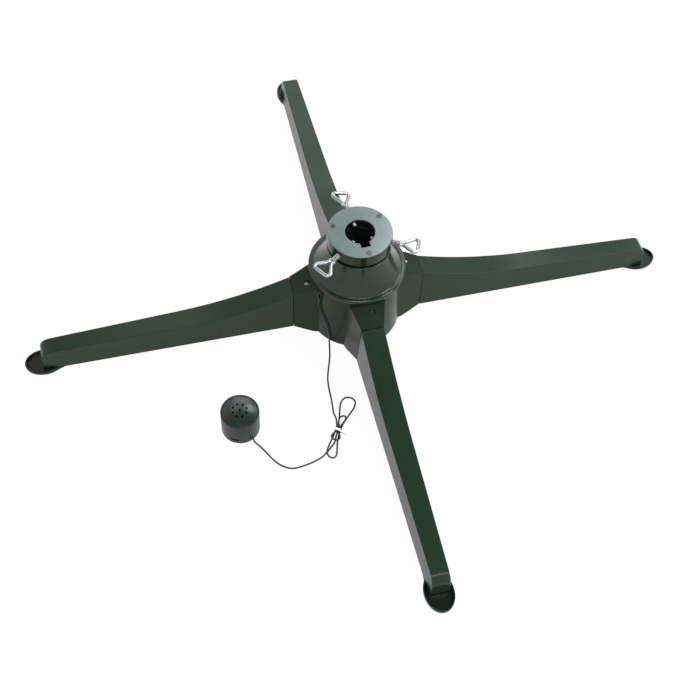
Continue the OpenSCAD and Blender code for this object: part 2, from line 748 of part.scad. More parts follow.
/* Head */
groove_z = bell_top_z - neck_l - 2;
snap_t = 1.2;
snap_out_r = tube_r + 2;
snap_gap_w = 6;
clamp_hole_r = clamp_r + 1.5 * pass_gap;

module keyway(low_z) {
    rotate([0, 0, key_angle]) translate([0, -key_w / 2, low_z]) cube([key_r, key_w, block]);
}

key_low_z = collar_z + 2;

module socket_tube() color([0.60, 0.61, 0.62]) difference() {
    translate([0, 0, tube_z]) ring(tube_r, tube_r - tube_wall, plate_z - tube_z);
    translate([0, 0, groove_z - seat_gap])
        ring(tube_r + over, tube_r - tube_wall / 2, snap_t + 2 * seat_gap);
    for (a = clamp_angles) outward(a, tube_r - 2 * tube_wall, clamp_z)
        cylinder(r = clamp_hole_r, h = 4 * tube_wall);
    keyway(key_low_z);
}

module retaining_ring() color([0.30, 0.31, 0.32]) difference() {
    translate([0, 0, groove_z]) ring(snap_out_r, tube_r - tube_wall / 2 + seat_gap, snap_t);
    rotate([0, 0, key_angle]) translate([0, -snap_gap_w / 2, groove_z - over])
        cube([2 * tube_r, snap_gap_w, snap_t + 2 * over]);
}

module tube_foot() color([0.60, 0.61, 0.62]) {
    translate([0, 0, cover_top + spindle_clear]) cylinder(r = spindle_r, h = foot_flange_z - cover_top);
    translate([0, 0, foot_flange_z]) cylinder(r = tube_r, h = foot_flange_t);
    translate([0, 0, tube_z - bond]) cylinder(r = tube_r - tube_wall - seat_gap, h = foot_plug_h + bond);
}

module pole_sleeve() color([0.10, 0.11, 0.10]) translate([0, 0, tube_z + foot_plug_h + spindle_clear / 2])
    ring(tube_r - tube_wall - seat_gap, pole_r, sleeve_l);

collar_web_t = 2;
collar_wall = 2.5;
collar_hub_r = tube_r + seat_gap + 2 * wall;
rib_from_r = collar_hub_r - wall;
clamp_block_w = 16;
nut_flats = 10;
nut_t = 5;
nut_in_r = 28;
plate_boss_r = 4;
plate_screw_ring_r = 31.7;
plate_screw_l = 10;
plate_screw_head_r = 2.7;
plate_screw_head_h = 1.4;
sink = 0.4;

module collar() color([0.20, 0.25, 0.22]) difference() {
    translate([0, 0, collar_z]) union() {
        ring(collar_r, collar_r - collar_wall, collar_h);
        cylinder(r = collar_r - collar_wall / 2, h = collar_web_t);
        cylinder(r = collar_hub_r, h = collar_h);
        for (a = clamp_angles) rotate([0, 0, a])
            translate([rib_from_r, -clamp_block_w / 2, collar_web_t / 2])
            cube([collar_r - 0.7 * collar_wall - rib_from_r, clamp_block_w, collar_h - 0.7 * collar_web_t]);
        for (i = [0:2]) rotate([0, 0, plate_screw_angle + 120 * i]) {
            translate([plate_screw_ring_r, 0, collar_web_t / 2])
                cylinder(r = plate_boss_r, h = collar_h - 0.6 * collar_web_t);
            translate([rib_from_r, -collar_web_t / 2, collar_web_t / 2])
                cube([plate_screw_ring_r - rib_from_r, collar_web_t, collar_h - collar_web_t]);
        }
    }
    translate([0, 0, collar_z - over]) cylinder(r = tube_r + seat_gap, h = collar_h + 2 * over);
    for (a = clamp_angles) {
        outward(a, 0, clamp_z) cylinder(r = clamp_hole_r, h = 2 * collar_r);
        rotate([0, 0, a]) translate([nut_in_r - slip_gap, -nut_flats / 2 - slip_gap,
                clamp_z - nut_flats / sqrt(3) - slip_gap])
            cube([nut_t + 2 * slip_gap, nut_flats + 2 * slip_gap, block]);
    }
    for (i = [0:2]) rotate([0, 0, plate_screw_angle + 120 * i])
        translate([plate_screw_ring_r, 0, plate_z - plate_screw_l]) cylinder(r = screw_pilot_r, h = block);
    keyway(key_low_z);
}

module clamp_nuts() color([0.70, 0.71, 0.72]) for (a = clamp_angles)
    outward(a, nut_in_r, clamp_z) difference() {
        cylinder(r = nut_flats / sqrt(3), h = nut_t, $fn = 6);
        translate([0, 0, -over]) cylinder(r = clamp_r + run_gap, h = nut_t + 2 * over);
    }

module top_plate() color([0.56, 0.62, 0.60]) difference() {
    translate([0, 0, plate_z]) cylinder(r = plate_r, h = plate_t, $fn = 128);
    translate([0, 0, plate_z - over]) cylinder(r = pole_r, h = plate_t + 2 * over);
    for (i = [0:2]) rotate([0, 0, plate_screw_angle + 120 * i]) translate([plate_screw_ring_r, 0, 0]) {
        translate([0, 0, plate_z - over]) cylinder(r = screw_pass_r, h = plate_t + 2 * over);
        translate([0, 0, plate_top - plate_screw_head_h + sink])
            cylinder(r = plate_screw_head_r + pass_gap, h = plate_t);
    }
    keyway(plate_z - over);
}

module plate_screws() color([0.62, 0.63, 0.64]) for (i = [0:2]) rotate([0, 0, plate_screw_angle + 120 * i])
    translate([plate_screw_ring_r, 0, plate_top - plate_screw_head_h + sink])
        screw(plate_screw_head_r, plate_screw_head_h - sink, screw_r, plate_screw_l);

/* Clamp screws */
// Closed loop of the wire: three straight sides with rounded corners, apex towards the hub
function corner_arc(a, p, b, r, n) = let (
        u = unit(a - p), v = unit(b - p),
        half = acos(u * v) / 2,
        w = unit(u + v),
        c = p + w * r / sin(half),
        s = angle_of(-w),
        turn = (u[0] * v[1] - u[1] * v[0] > 0 ? -1 : 1) * (quarter - half))
    arc(c, r, s - turn, s + turn, n);
loop_apex = [loop_apex_r - 0.78 * loop_corner_r, 0];
loop_left = [loop_base_r, loop_half_w];
loop_right = [loop_base_r, -loop_half_w];
loop_path = concat(corner_arc(loop_right, loop_apex, loop_left, loop_corner_r, 4),
    corner_arc(loop_apex, loop_left, loop_right, loop_corner_r, 6),
    corner_arc(loop_left, loop_right, loop_apex, loop_corner_r, 6));

module wire_loop(path, r, sides) {
    n = len(path);
    points = [for (i = [0:n - 1]) let (
            t = unit(path[(i + 1) % n] - path[(i + n - 1) % n]),
            side = [t[1], -t[0]])
        for (k = [0:sides - 1]) let (a = 360 * (k + 0.5) / sides)
            [path[i][0] + r * cos(a) * side[0], path[i][1] + r * cos(a) * side[1], r * sin(a)]];
    faces = [for (i = [0:n - 1]) for (k = [0:sides - 1]) for (f = [0, 1]) let (
            a = i * sides + k, b = i * sides + (k + 1) % sides,
            c = ((i + 1) % n) * sides + (k + 1) % sides, d = ((i + 1) % n) * sides + k)
        f == 0 ? [a, b, c] : [a, c, d]];
    polyhedron(points, faces);
}

module clamp_screw(angle, roll) {
    tip = 0.6 * clamp_r;
    rotate([0, 0, angle]) translate([0, 0, clamp_z]) {
        rotate([0, 90, 0]) translate([0, 0, clamp_tip_r])
            cylinder(r1 = tip, r2 = clamp_r, h = clamp_r - tip);
        rotate([0, 90, 0]) translate([0, 0, clamp_tip_r + clamp_r - tip])
            cylinder(r = clamp_r, h = clamp_shank_r - clamp_tip_r - clamp_r + tip);
        rotate([roll, 0, 0]) wire_loop(loop_path, loop_wire_r, 12);
    }
}

module clamp_screw_a() color([0.80, 0.81, 0.82]) clamp_screw(clamp_angles[0], clamp_rolls[0]);
module clamp_screw_b() color([0.80, 0.81, 0.82]) clamp_screw(clamp_angles[1], clamp_rolls[1]);
module clamp_screw_c() color([0.80, 0.81, 0.82]) clamp_screw(clamp_angles[2], clamp_rolls[2]);

/* Control board and power inlet */
jack_in_r = 40;
jack_out_r = drum_bottom_r - wall - 1.1;
jack_w = 9;
jack_bore_r = 2.75;
jack_pin_r = 0.65;
jack_bore_l = 9;
board_top = board_z + board_t;
header_w = 5;
header_h = 4.5;
header_side = board_w / 2 - header_w / 2 - 0.5;

module control_board() color([0.12, 0.35, 0.20]) rotate([0, 0, jack_angle])
    translate([board_in_r, -board_w / 2, board_z]) cube([board_l, board_w, board_t]);

module board_parts() color([0.20, 0.21, 0.24]) rotate([0, 0, jack_angle]) {
    for (s = [-1, 1]) translate([board_in_r + header_w, s * header_side - header_w / 2, board_top])
        cube([header_w, header_w, header_h]);
    translate([board_in_r + 3.1 * header_w, header_w * 1.45, board_top])
        cylinder(r = header_w / 2, h = 2 * header_w);
    translate([board_in_r + header_w, -header_w * 0.8, board_top])
        cube([header_w, 1.6 * header_w, header_h / 3]);
}

module dc_jack() color([0.08, 0.08, 0.09]) {
    nose_out_r = drum_r(jack_z) - 0.1;
    difference() {
        union() {
            rotate([0, 0, jack_angle]) translate([jack_in_r, -jack_w / 2, board_top])
                cube([jack_out_r - jack_in_r, jack_w, 2 * (jack_z - board_top)]);
            outward(jack_angle, jack_out_r - bond, jack_z)
                cylinder(r = jack_nose_r, h = nose_out_r - jack_out_r + bond);
        }
        outward(jack_angle, nose_out_r - jack_bore_l, jack_z)
            cylinder(r = jack_bore_r, h = 2 * jack_bore_l);
    }
    outward(jack_angle, nose_out_r - jack_bore_l - bond, jack_z) cylinder(r = jack_pin_r, h = jack_bore_l);
}

/* Cords */
cord_r = cord_d / 2;

// A smooth line through the points of a route, its ends kept
function smooth(route, steps) = let (n = len(route)) concat(
    [for (i = [0:n - 2]) for (j = [0:steps - 1]) let (
            t = j / steps,
            a = route[max(0, i - 1)], b = route[i], c = route[i + 1], d = route[min(n - 1, i + 2)])
        ((2 * b) + (c - a) * t + (2 * a - 5 * b + 4 * c - d) * t * t
            + (3 * b - a - 3 * c + d) * t * t * t) / 2],
    [route[n - 1]]);
function on_floor(path) = [for (p = path) [p[0], p[1], max(p[2], cord_r)]];
function tangents(path) = let (n = len(path))
    [for (i = [0:n - 1]) unit(path[min(n - 1, i + 1)] - path[max(0, i - 1)])];
function carried(t, start) = [for (i = 0, v = start; i < len(t); i = i + 1,
    v = unit(v - (v * t[min(i, len(t) - 1)]) * t[min(i, len(t) - 1)])) v];
function across(t) = unit(cross(t, abs(t[2]) > 0.9 ? [1, 0, 0] : [0, 0, 1]));

module tube(path, r, sides) {
    n = len(path);
    t = tangents(path);
    side = carried(t, across(t[0]));
    points = [for (i = [0:n - 1]) let (up = cross(t[i], side[i])) for (k = [0:sides - 1])
        let (a = 360 * (k + 0.5) / sides) path[i] + r * (cos(a) * side[i] + sin(a) * up)];
    walls = [for (i = [0:n - 2]) for (k = [0:sides - 1]) for (f = [0, 1]) let (
            a = i * sides + k, b = i * sides + (k + 1) % sides, c = b + sides, d = a + sides)
        f == 0 ? [a, c, b] : [a, d, c]];
    caps = [for (k = [1:sides - 2])
        each [[0, k, k + 1], [n * sides - sides, n * sides - sides + k + 1, n * sides - sides + k]]];
    polyhedron(points, concat(walls, caps));
}

// Places beside the tie: u along the bundle, v across it
tie_at = [-58.8, -162.5];
tie_turn = 60;
tie_half = 3;
slot_pitch = 2.75;
tie_wire = 0.7;
low_z = cord_r + 0.1 + tie_wire;
high_z = low_z + 0.92 * slot_pitch;
lay_z = cord_r;
function beside_tie(u, v, z) = [tie_at[0] + u * cos(tie_turn) - v * sin(tie_turn),
    tie_at[1] + u * sin(tie_turn) + v * cos(tie_turn), z];
slot_a = [slot_pitch, low_z];
slot_b = [-0.2, low_z];
slot_c = [-slot_pitch, low_z];
slot_d = [-slot_pitch / 2, high_z];
slot_e = [slot_pitch / 2, high_z];

// One fold of the hank, from slot p to slot q: along the bundle it swings out and back
// as a power of a sine, across it as a sine of twice the angle, and it settles to its lay
fold_rings = 24;
function fold(way, shape, p, q, lay_p, lay_q, hold_q, settle) = [for (i = [0:fold_rings]) let (
        t = i / fold_rings - shape[4] * sin(360 * i / fold_rings) / (2 * PI),
        s = pow(sin(180 * t), shape[1]),
        out = sign(p[0] - q[0]) * shape[2] / 2 * sin(360 * t),
        zp = mix(p[1], lay_p, ease(t / settle)),
        zq = mix(q[1], lay_q, ease((1 - t - hold_q) / settle)))
    beside_tie(way * (tie_half + shape[0] * s), mix(p[0], q[0], t) + out
        + shape[3] * shape[0] * s * sin(180 * t),
        mix(zp, zq, ease((t - 0.35) / 0.3)))];

// Length, power, width, lean and crowding of the rings at the tie, of each fold in turn
fold_shapes = [[32, 0.543, 8.42, -0.09, 0.86], [44, 0.6, 14.5, -0.02, 0.86],
    [10.5, 1.1, 8, -0.06, 0.32], [17.1, 0.714, 7, 0, 0.855]];
top_lay = high_z;
hank_path = concat(
    [beside_tie(tie_half, slot_a[0], slot_a[1])],
    fold(-1, fold_shapes[0], slot_a, slot_c, lay_z, lay_z, 0, 0.12),
    fold(1, fold_shapes[1], slot_c, slot_e, lay_z, lay_z, 0.05, 0.1),
    fold(-1, fold_shapes[2], slot_e, slot_d, top_lay, top_lay, 0, 0.2),
    fold(1, fold_shapes[3], slot_d, slot_b, top_lay, 1.1 * lay_z, 0, 0.2),
    [beside_tie(-tie_half, slot_b[0], slot_b[1])]);

// Least distance between stretches of the tube that are not neighbours, less its thickness
function between(p, a, b) = let (d = b - a, t = min(1, max(0, (p - a) * d / (d * d)))) norm(p - a - t * d);
function run(path) = [for (i = 0, s = 0; i < len(path); i = i + 1,
    s = s + norm(path[min(i, len(path) - 1)] - path[i - 1])) s];
function least_gap(path, skip) = let (s = run(path))
    min([for (i = [0:len(path) - 1]) for (j = [0:len(path) - 2])
    if (s[j] - s[i] > skip || s[i] - s[j + 1] > skip) between(path[i], path[j], path[j + 1])]) - cord_d;
echo(hank_gap = least_gap(hank_path, 3 * cord_d));
echo(hank_length = run(hank_path)[len(hank_path) - 1]);

module cord_hank() color([0.10, 0.12, 0.11]) tube(hank_path, cord_r, 6);

// Route of the cord from the hub down to the tie
exit_inset = 0.8;
exit_r = drum_r(cord_exit_z) - wall - exit_inset;
drop_route = concat([polar(exit_r, cord_angle, cord_exit_z), polar(exit_r + 2, cord_angle, cord_exit_z),
        polar(exit_r + 4, cord_angle, cord_exit_z)],
    [[-50.7, -24.1, 82.5], [-52, -24.8, 80.6], [-52.4, -25, 78], [-51.9, -24.7, 75], [-50.9, -24.1, 71.5],
        [-50.4, -23.7, 67], [-50.4, -23.4, 60], [-49.6, -25.5, 51], [-46.5, -31.4, 41],
            [-43.2, -36.3, 31], [-41.5, -38.6, 21],
        [-40.4, -40.4, 11], [-40.3, -41.2, 6.5], [-40.5, -43, 3], [-41.3, -47, 1.2], [-42.4, -53, 1],
        [-45.1, -64, 1], [-49.5, -77, 1], [-53.8, -91, 1], [-55.6, -105, 1], [-56.3, -121, 1],
            [-57.8, -137, 1],
        beside_tie(15, 6.4, 1), beside_tie(6.9, 3.3, 1.7), beside_tie(5.2, slot_a[0], low_z),
        beside_tie(tie_half + cord_r, slot_a[0], slot_a[1]), beside_tie(tie_half, slot_a[0], slot_a[1])]);

module cord_drop() color([0.10, 0.12, 0.11]) tube(on_floor(smooth(drop_route, 2)), cord_r, 8);

// Route of the cord from the tie to the pod
pod_at = [pod_x, pod_y];
pod_entry_angle = -65;
pod_entry_z = 7.2;
pod_block_r = 12.5;
function pod_polar(r, z) = [pod_x + r * cos(pod_entry_angle), pod_y + r * sin(pod_entry_angle), z];
tail_route = concat(
    [beside_tie(-tie_half, slot_b[0], slot_b[1]), beside_tie(-tie_half - cord_r, slot_b[0], slot_b[1]),
        beside_tie(-tie_half - cord_d, slot_b[0], slot_b[1]),
        beside_tie(-8, -0.2, 1.3), beside_tie(-14, -0.8, 1.05), beside_tie(-19, -0.2, 2.2),
        beside_tie(-24, 1.2, 3.5), beside_tie(-29, 2.4, 3.6), beside_tie(-33, 4.6, 3.4)],
    [[-82, -190.5, 1.8], [-89, -193.5, 1], [-98, -196, 1], [-109, -198, 1], [-118, -198.4, 1],
        [-125.5, -195.8, 1],
        [-133, -190, 1], [-139, -182, 1], [-144, -173, 1], [-149, -164.5, 1.6]],
    [pod_polar(28, 4), pod_polar(24.5, 6.6), pod_polar(22, pod_entry_z), pod_polar(17, pod_entry_z),
        pod_polar(pod_block_r, pod_entry_z)]);

module cord_tail() color([0.10, 0.12, 0.11]) tube(on_floor(smooth(tail_route, 2)), cord_r, 8);

// Wires inside the hub
header_top = board_top + header_h;
motor_lead_route =
    [[-19.5, 30, can_z], [-19.5, 30, can_z - 1.2], [-19.5, 30, can_z - 2.4], [-18.4, 31.2, 7.8],
    [-14, 34, 7.2], [-6, 36, 8], [2, 36, 12], [8, 35, 18], [11.6, 32, 21.4], [13.9, 29, 21.6],
    [14.3, 28.3, header_top + 3], [14.3, 28.3, header_top + 1.5], [14.3, 28.3, header_top]];
pod_lead_route =
    [[28.2, 14.2, header_top], [28.2, 14.2, header_top + 1.5], [28.2, 14.2, 20], [29, 10, 25],
        [34, 0, 30], [38, -12, 33],
    [36, -25, 35], [25, -35, 36], [8, -42, 37], [-10, -42, 39], [-26, -35, 42], [-37.5, -24, 47],
        [-41, -20, 55],
    [-41.2, -19.7, 64], polar(44.6, cord_angle, 71), polar(43.8, cord_angle, 76),
    polar(44.1, cord_angle, 79.3), polar(45.4, cord_angle, 81.9),
        polar(exit_r - 2.8, cord_angle, cord_exit_z - 0.2),
    polar(exit_r - 1.6, cord_angle, cord_exit_z), polar(exit_r - 0.8, cord_angle, cord_exit_z),
    polar(exit_r, cord_angle, cord_exit_z)];

module motor_lead() color([0.65, 0.10, 0.08]) tube(smooth(motor_lead_route, 2), cord_r, 8);
module pod_lead() color([0.10, 0.12, 0.11]) tube(smooth(pod_lead_route, 2), cord_r, 8);

module cord_grommet() color([0.08, 0.09, 0.09]) difference() {
    wall_in_r = drum_r(cord_exit_z) - wall;
    union() {
        outward(cord_angle, exit_r + 0.4 * seat_gap, cord_exit_z)
            cylinder(r = grommet_flange_r, h = wall_in_r - exit_r - 3 * seat_gap);
        outward(cord_angle, exit_r + seat_gap, cord_exit_z)
            cylinder(r = grommet_r - seat_gap, h = wall_in_r + wall + 0.4 - exit_r);
    }
    outward(cord_angle, exit_r - over, cord_exit_z) cylinder(r = cord_r + seat_gap, h = 3 * wall);
}

// Wire tie round the five strands, with its twisted ends lying to the right
tie_w = 3.2;
tie_in_half = slot_pitch + cord_r + 0.15;
tail_l = 8.5;
tail_r = 0.75;

module tie_outline(grow) {
    hull() {
        for (s = [-1, 1]) translate([s * slot_pitch, low_z]) circle(r = cord_r + 0.1 + grow, $fn = 24);
        for (s = [-1, 1]) translate([s * slot_pitch / 2, high_z]) circle(r = cord_r + 0.1 + grow, $fn = 24);
    }
}

module hank_tie() color([0.93, 0.94, 0.93]) translate([tie_at[0], tie_at[1], 0]) rotate([0, 0, tie_turn]) {
    rotate([90, 0, 90]) translate([0, 0, -tie_w / 2]) difference() {
        linear_extrude(tie_w) tie_outline(tie_wire);
        translate([0, 0, -over]) linear_extrude(tie_w + 2 * over) tie_outline(0);
    }
    translate([0, -tie_in_half - tie_wire / 2, tail_r]) rotate([90, 0, -14])
        cylinder(r = tail_r, h = tail_l);
}

/* Sound pod */
pod_wall = 2;
pod_in_r = pod_r - pod_wall;
pod_edge_r = 1.2;
cap_t = 1.8;
cap_r = pod_in_r + 0.2;
cap_ledge_z = pod_h - 2.3;
cap_ledge_in = 1.7;
dome_r = (cap_r * cap_r + dome_h * dome_h) / (2 * dome_h);
dome_c = [0, cap_ledge_z + cap_t + dome_h - dome_r];
switch_angle = -118;
pod_post_r = 2.6;
pod_post_ring_r = pod_in_r - cap_ledge_in - pod_post_r - seat_gap;
pod_screw_r = 1.1;
pod_screw_head_r = 2.1;
pod_screw_head_h = 1.5;
pod_screw_l = 16;
pod_post_z = 8;
speaker_r = 12.5;
speaker_h = 5;
speaker_z = cap_ledge_z - speaker_h;
pod_board_z = 3.6;
pod_board_t = 1.6;
pod_board_top = pod_board_z + pod_board_t;
pod_board_in = 10;
pod_board_out = 14;
pod_board_half_w = 11;
switch_in = 11;
switch_out = 18.6;
switch_w = 12;
switch_h = 6;
switch_z = pod_board_top + switch_h / 2;
knob_w = 4.4;
knob_h = 2.8;
knob_in = 16.5;
knob_out = 20.8;
slot_w = 9;
slot_h = 3.6;

module at_pod() {
    translate([pod_x, pod_y, 0]) children();
}

module pod_posts() {
    for (a = [-90, 90]) rotate([0, 0, switch_angle + a]) translate([pod_post_ring_r, 0, 0]) children();
}

module pod_base() color([0.28, 0.30, 0.29]) at_pod() difference() {
    union() {
        rotate_extrude($fn = 96) polygon(concat(
            [[0, 0]],
            arc([pod_r - pod_edge_r, pod_edge_r / 2], pod_edge_r / 2, -90, -45, 2),
            [[pod_r, pod_edge_r]],
            arc([pod_r - pod_edge_r, pod_h - pod_edge_r], pod_edge_r, 0, 90, 6),
            [[cap_r + slip_gap, pod_h], [cap_r + slip_gap, cap_ledge_z],
                [pod_in_r - cap_ledge_in, cap_ledge_z], [pod_in_r - cap_ledge_in, cap_ledge_z - pod_wall],
                [pod_in_r, cap_ledge_z - pod_wall - cap_ledge_in], [pod_in_r, pod_wall], [0, pod_wall]]));
        pod_posts() cylinder(r = pod_post_r, h = pod_post_z - slip_gap);
        for (s = [-1, 1]) rotate([0, 0, switch_angle]) translate([s * pod_board_in * 0.8, 0, 0])
            cylinder(r = pod_post_r, h = pod_board_z);
    }
    pod_posts() {
        translate([0, 0, -over])
            cylinder(r = pod_screw_head_r + pass_gap, h = pod_screw_head_h + slip_gap + over);
        translate([0, 0, -over]) cylinder(r = pod_screw_r + pass_gap, h = 2 * pod_post_z);
    }
    rotate([0, 0, switch_angle]) translate([pod_in_r - pod_wall, -slot_w / 2, switch_z - slot_h / 2])
        cube([3 * pod_wall, slot_w, slot_h]);
    outward(pod_entry_angle, pod_in_r - pod_wall, pod_entry_z) cylinder(r = cord_r + 0.8, h = 3 * pod_wall);
}

module pod_cap() color([0.24, 0.29, 0.26]) at_pod() difference() {
    edge_a = atan2(cap_ledge_z + cap_t - dome_c[1], cap_r);
    inner_a = atan2(cap_ledge_z + cap_t - dome_c[1], cap_r - cap_t);
    union() {
        rotate_extrude($fn = 96) polygon(concat(
            [[0, dome_c[1] + dome_r - cap_t], [0, dome_c[1] + dome_r]],
            reversed(arc(dome_c, dome_r, edge_a, 90 - 2, 10)),
            [[cap_r, cap_ledge_z], [cap_r - 1.5 * cap_t, cap_ledge_z]],
            arc(dome_c, dome_r - cap_t, edge_a + 3.5, 90 - 2, 8)));
        pod_posts() translate([0, 0, pod_post_z])
            cylinder(r = pod_post_r, h = cap_ledge_z + cap_t - pod_post_z);
        translate([0, 0, cap_ledge_z]) ring(speaker_r + 1.1, speaker_r - 1.5, 1.6 * cap_t);
        translate([0, 0, cap_ledge_z - 0.5 * speaker_h])
            ring(speaker_r + 1.1, speaker_r + seat_gap, 0.5 * speaker_h + cap_t);
    }
    cylinder(r = sound_hole_r, h = 2 * pod_h, $fn = 24);
    for (i = [1:sound_holes]) rotate([0, 0, 360 * (i + 0.2) / sound_holes]) translate([sound_ring_r, 0, 0])
        cylinder(r = sound_hole_r, h = 2 * pod_h, $fn = 24);
    pod_posts() cylinder(r = pod_screw_r + seat_gap, h = pod_screw_l + pod_screw_head_h + 2 * pod_wall);
}

module pod_screws() color([0.62, 0.63, 0.64]) at_pod() pod_posts()
    translate([0, 0, pod_screw_head_h + slip_gap]) rotate([180, 0, 0])
        screw(pod_screw_head_r, pod_screw_head_h, pod_screw_r, pod_screw_l);

module pod_speaker() color([0.15, 0.15, 0.16]) at_pod() {
    translate([0, 0, speaker_z]) difference() {
        cylinder(r = speaker_r, h = speaker_h);
        translate([0, 0, 0.8 * speaker_h]) cylinder(r = speaker_r - 2 * wall, h = speaker_h);
    }
    translate([0, 0, speaker_z - speaker_h]) cylinder(r = speaker_r / 2, h = speaker_h + bond);
}

module pod_board() color([0.12, 0.35, 0.20]) at_pod() {
    rotate([0, 0, switch_angle]) translate([-pod_board_in, -pod_board_half_w, pod_board_z])
        cube([pod_board_in + pod_board_out, 2 * pod_board_half_w, pod_board_t]);
    rotate([0, 0, pod_entry_angle])
        translate([pod_block_r - header_w, -header_w / 2, pod_board_top - bond / 2])
        cube([header_w, header_w, header_h]);
}

module pod_switch_case() color([0.55, 0.56, 0.57]) at_pod() rotate([0, 0, switch_angle]) difference() {
    translate([switch_in, -switch_w / 2, pod_board_top]) cube([switch_out - switch_in, switch_w, switch_h]);
    translate([knob_in - slip_gap, -slot_w / 2, switch_z - knob_h / 2 - slip_gap / 2])
        cube([2 * switch_out, slot_w, knob_h + slip_gap]);
}

module pod_switch_knob() color([0.06, 0.06, 0.07]) at_pod() rotate([0, 0, switch_angle])
    translate([knob_in, -knob_w / 2, switch_z - knob_h / 2]) cube([knob_out - knob_in, knob_w, knob_h]);

module pod_grommet() color([0.08, 0.09, 0.09]) at_pod() difference() {
    union() {
        outward(pod_entry_angle, pod_in_r - 1.2, pod_entry_z) cylinder(r = cord_r + 1.6, h = 1);
        outward(pod_entry_angle, pod_in_r - 1.2, pod_entry_z)
            cylinder(r = cord_r + 0.8 - seat_gap, h = pod_wall + 1.4);
    }
    outward(pod_entry_angle, pod_in_r - pod_wall, pod_entry_z)
        cylinder(r = cord_r + seat_gap, h = 3 * pod_wall);
}

hub_drum();
base_cover();
base_screws();
leg_east();
leg_north();
leg_west();
leg_south();
leg_screws();
foot_pads();
bell();
bell_screws();
neck_bush();
pivot_bush();
lower_race();
ball_cage();
bearing_balls();
upper_race();
ring_gear();
gear_grub_screws();
retaining_ring();
socket_tube();
tube_foot();
pole_sleeve();
collar();
clamp_nuts();
top_plate();
plate_screws();
clamp_screw_a();
clamp_screw_b();
clamp_screw_c();
motor_gearbox();
motor_can();
motor_screws();
motor_shaft();
motor_pinion();
control_board();
board_parts();
dc_jack();
motor_lead();
pod_lead();
cord_grommet();
cord_drop();
cord_hank();
hank_tie();
cord_tail();
pod_base();
pod_cap();
pod_screws();
pod_speaker();
pod_board();
pod_switch_case();
pod_switch_knob();
pod_grommet();
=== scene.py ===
"""Rotating tree stand: a motor hub on four long legs, its clamping head, and a sound pod on a tied cord."""

import math

import bpy
import numpy as np
from mathutils import Matrix, Vector


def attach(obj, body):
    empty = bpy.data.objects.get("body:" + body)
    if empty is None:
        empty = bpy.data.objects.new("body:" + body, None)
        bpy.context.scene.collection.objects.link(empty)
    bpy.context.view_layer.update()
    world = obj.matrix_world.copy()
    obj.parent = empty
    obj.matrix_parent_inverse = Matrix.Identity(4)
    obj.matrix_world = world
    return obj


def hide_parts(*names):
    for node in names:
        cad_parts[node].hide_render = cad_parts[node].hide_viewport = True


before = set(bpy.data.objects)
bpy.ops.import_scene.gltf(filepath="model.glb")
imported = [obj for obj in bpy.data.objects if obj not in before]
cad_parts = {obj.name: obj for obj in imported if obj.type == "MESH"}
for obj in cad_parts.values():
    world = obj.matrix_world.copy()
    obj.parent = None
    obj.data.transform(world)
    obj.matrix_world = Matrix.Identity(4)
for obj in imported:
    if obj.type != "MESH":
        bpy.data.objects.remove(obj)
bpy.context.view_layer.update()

# Camera
# The camera stands over the near left side of the stand and looks down at the hub.
# Its place, turn and roll are those of the photograph, worked out from feet, rims and hub.
MM = 0.001
FRAME_PIXELS = 680
FOCAL_PIXELS = 1126.94
SENSOR_MM = 36.0
NEAREST_SEEN = 10 * MM
CAMERA_RISE = math.radians(56.56)
CAMERA_ROLL = math.radians(4.21)
STAND_TURN = math.radians(17.13)
CAMERA_PLACE = Vector((-13.467, -799.480, 1140.005)) * MM

camera_data = bpy.data.cameras.new("camera")
camera_data.sensor_width = SENSOR_MM
camera_data.lens = FOCAL_PIXELS / FRAME_PIXELS * SENSOR_MM
camera_data.clip_start = NEAREST_SEEN
camera = bpy.data.objects.new("camera", camera_data)
bpy.context.scene.collection.objects.link(camera)
level_x = Vector((1, 0, 0))
level_y = Vector((0, math.sin(CAMERA_RISE), math.cos(CAMERA_RISE)))
back = Vector((0, -math.cos(CAMERA_RISE), math.sin(CAMERA_RISE)))
across = math.cos(CAMERA_ROLL) * level_x + math.sin(CAMERA_ROLL) * level_y
upward = math.cos(CAMERA_ROLL) * level_y - math.sin(CAMERA_ROLL) * level_x
camera_turn = Matrix((across, upward, back)).transposed().to_4x4()
stand_turn = Matrix.Rotation(-STAND_TURN, 4, "Z")
camera.matrix_world = stand_turn @ Matrix.Translation(CAMERA_PLACE) @ camera_turn
bpy.context.scene.camera = camera
bpy.context.scene.view_settings.view_transform = "Standard"

# Cords
# One thin two-core cord with a soft skin runs from the hub's side down to a hank, which a
# wire tie holds together, and on over the floor into the sound pod. Extruded skin over copper.
CORD_R = 1.0
BAND_T, STRAND_SLACK = 0.7, 0.1
SLOT_PITCH, STACK_SHARE = 2.75, 0.92
LOW_Z = CORD_R + STRAND_SLACK + BAND_T
HIGH_Z = LOW_Z + STACK_SHARE * SLOT_PITCH
TIE_AT, TIE_TURN, TIE_HALF = np.array([-58.8, -162.5]), math.radians(60), 3.0
CORD_AZIMUTH, CORD_EXIT_Z, CORD_EXIT_R = math.radians(-154.5), 83.2, 49.7924
POD_AT, POD_ENTRY_AZIMUTH = np.array([-166.3, -132.9]), math.radians(-65)


def beside_tie(u, v, z):
    """Places u along the tied bundle and v across it, in millimetres."""
    x = TIE_AT[0] + u * math.cos(TIE_TURN) - v * math.sin(TIE_TURN)
    y = TIE_AT[1] + u * math.sin(TIE_TURN) + v * math.cos(TIE_TURN)
    return np.stack(np.broadcast_arrays(x, y, z), -1)


def from_hub(r):
    """A place at the cord's way out of the hub."""
    return [r * math.cos(CORD_AZIMUTH), r * math.sin(CORD_AZIMUTH), CORD_EXIT_Z]


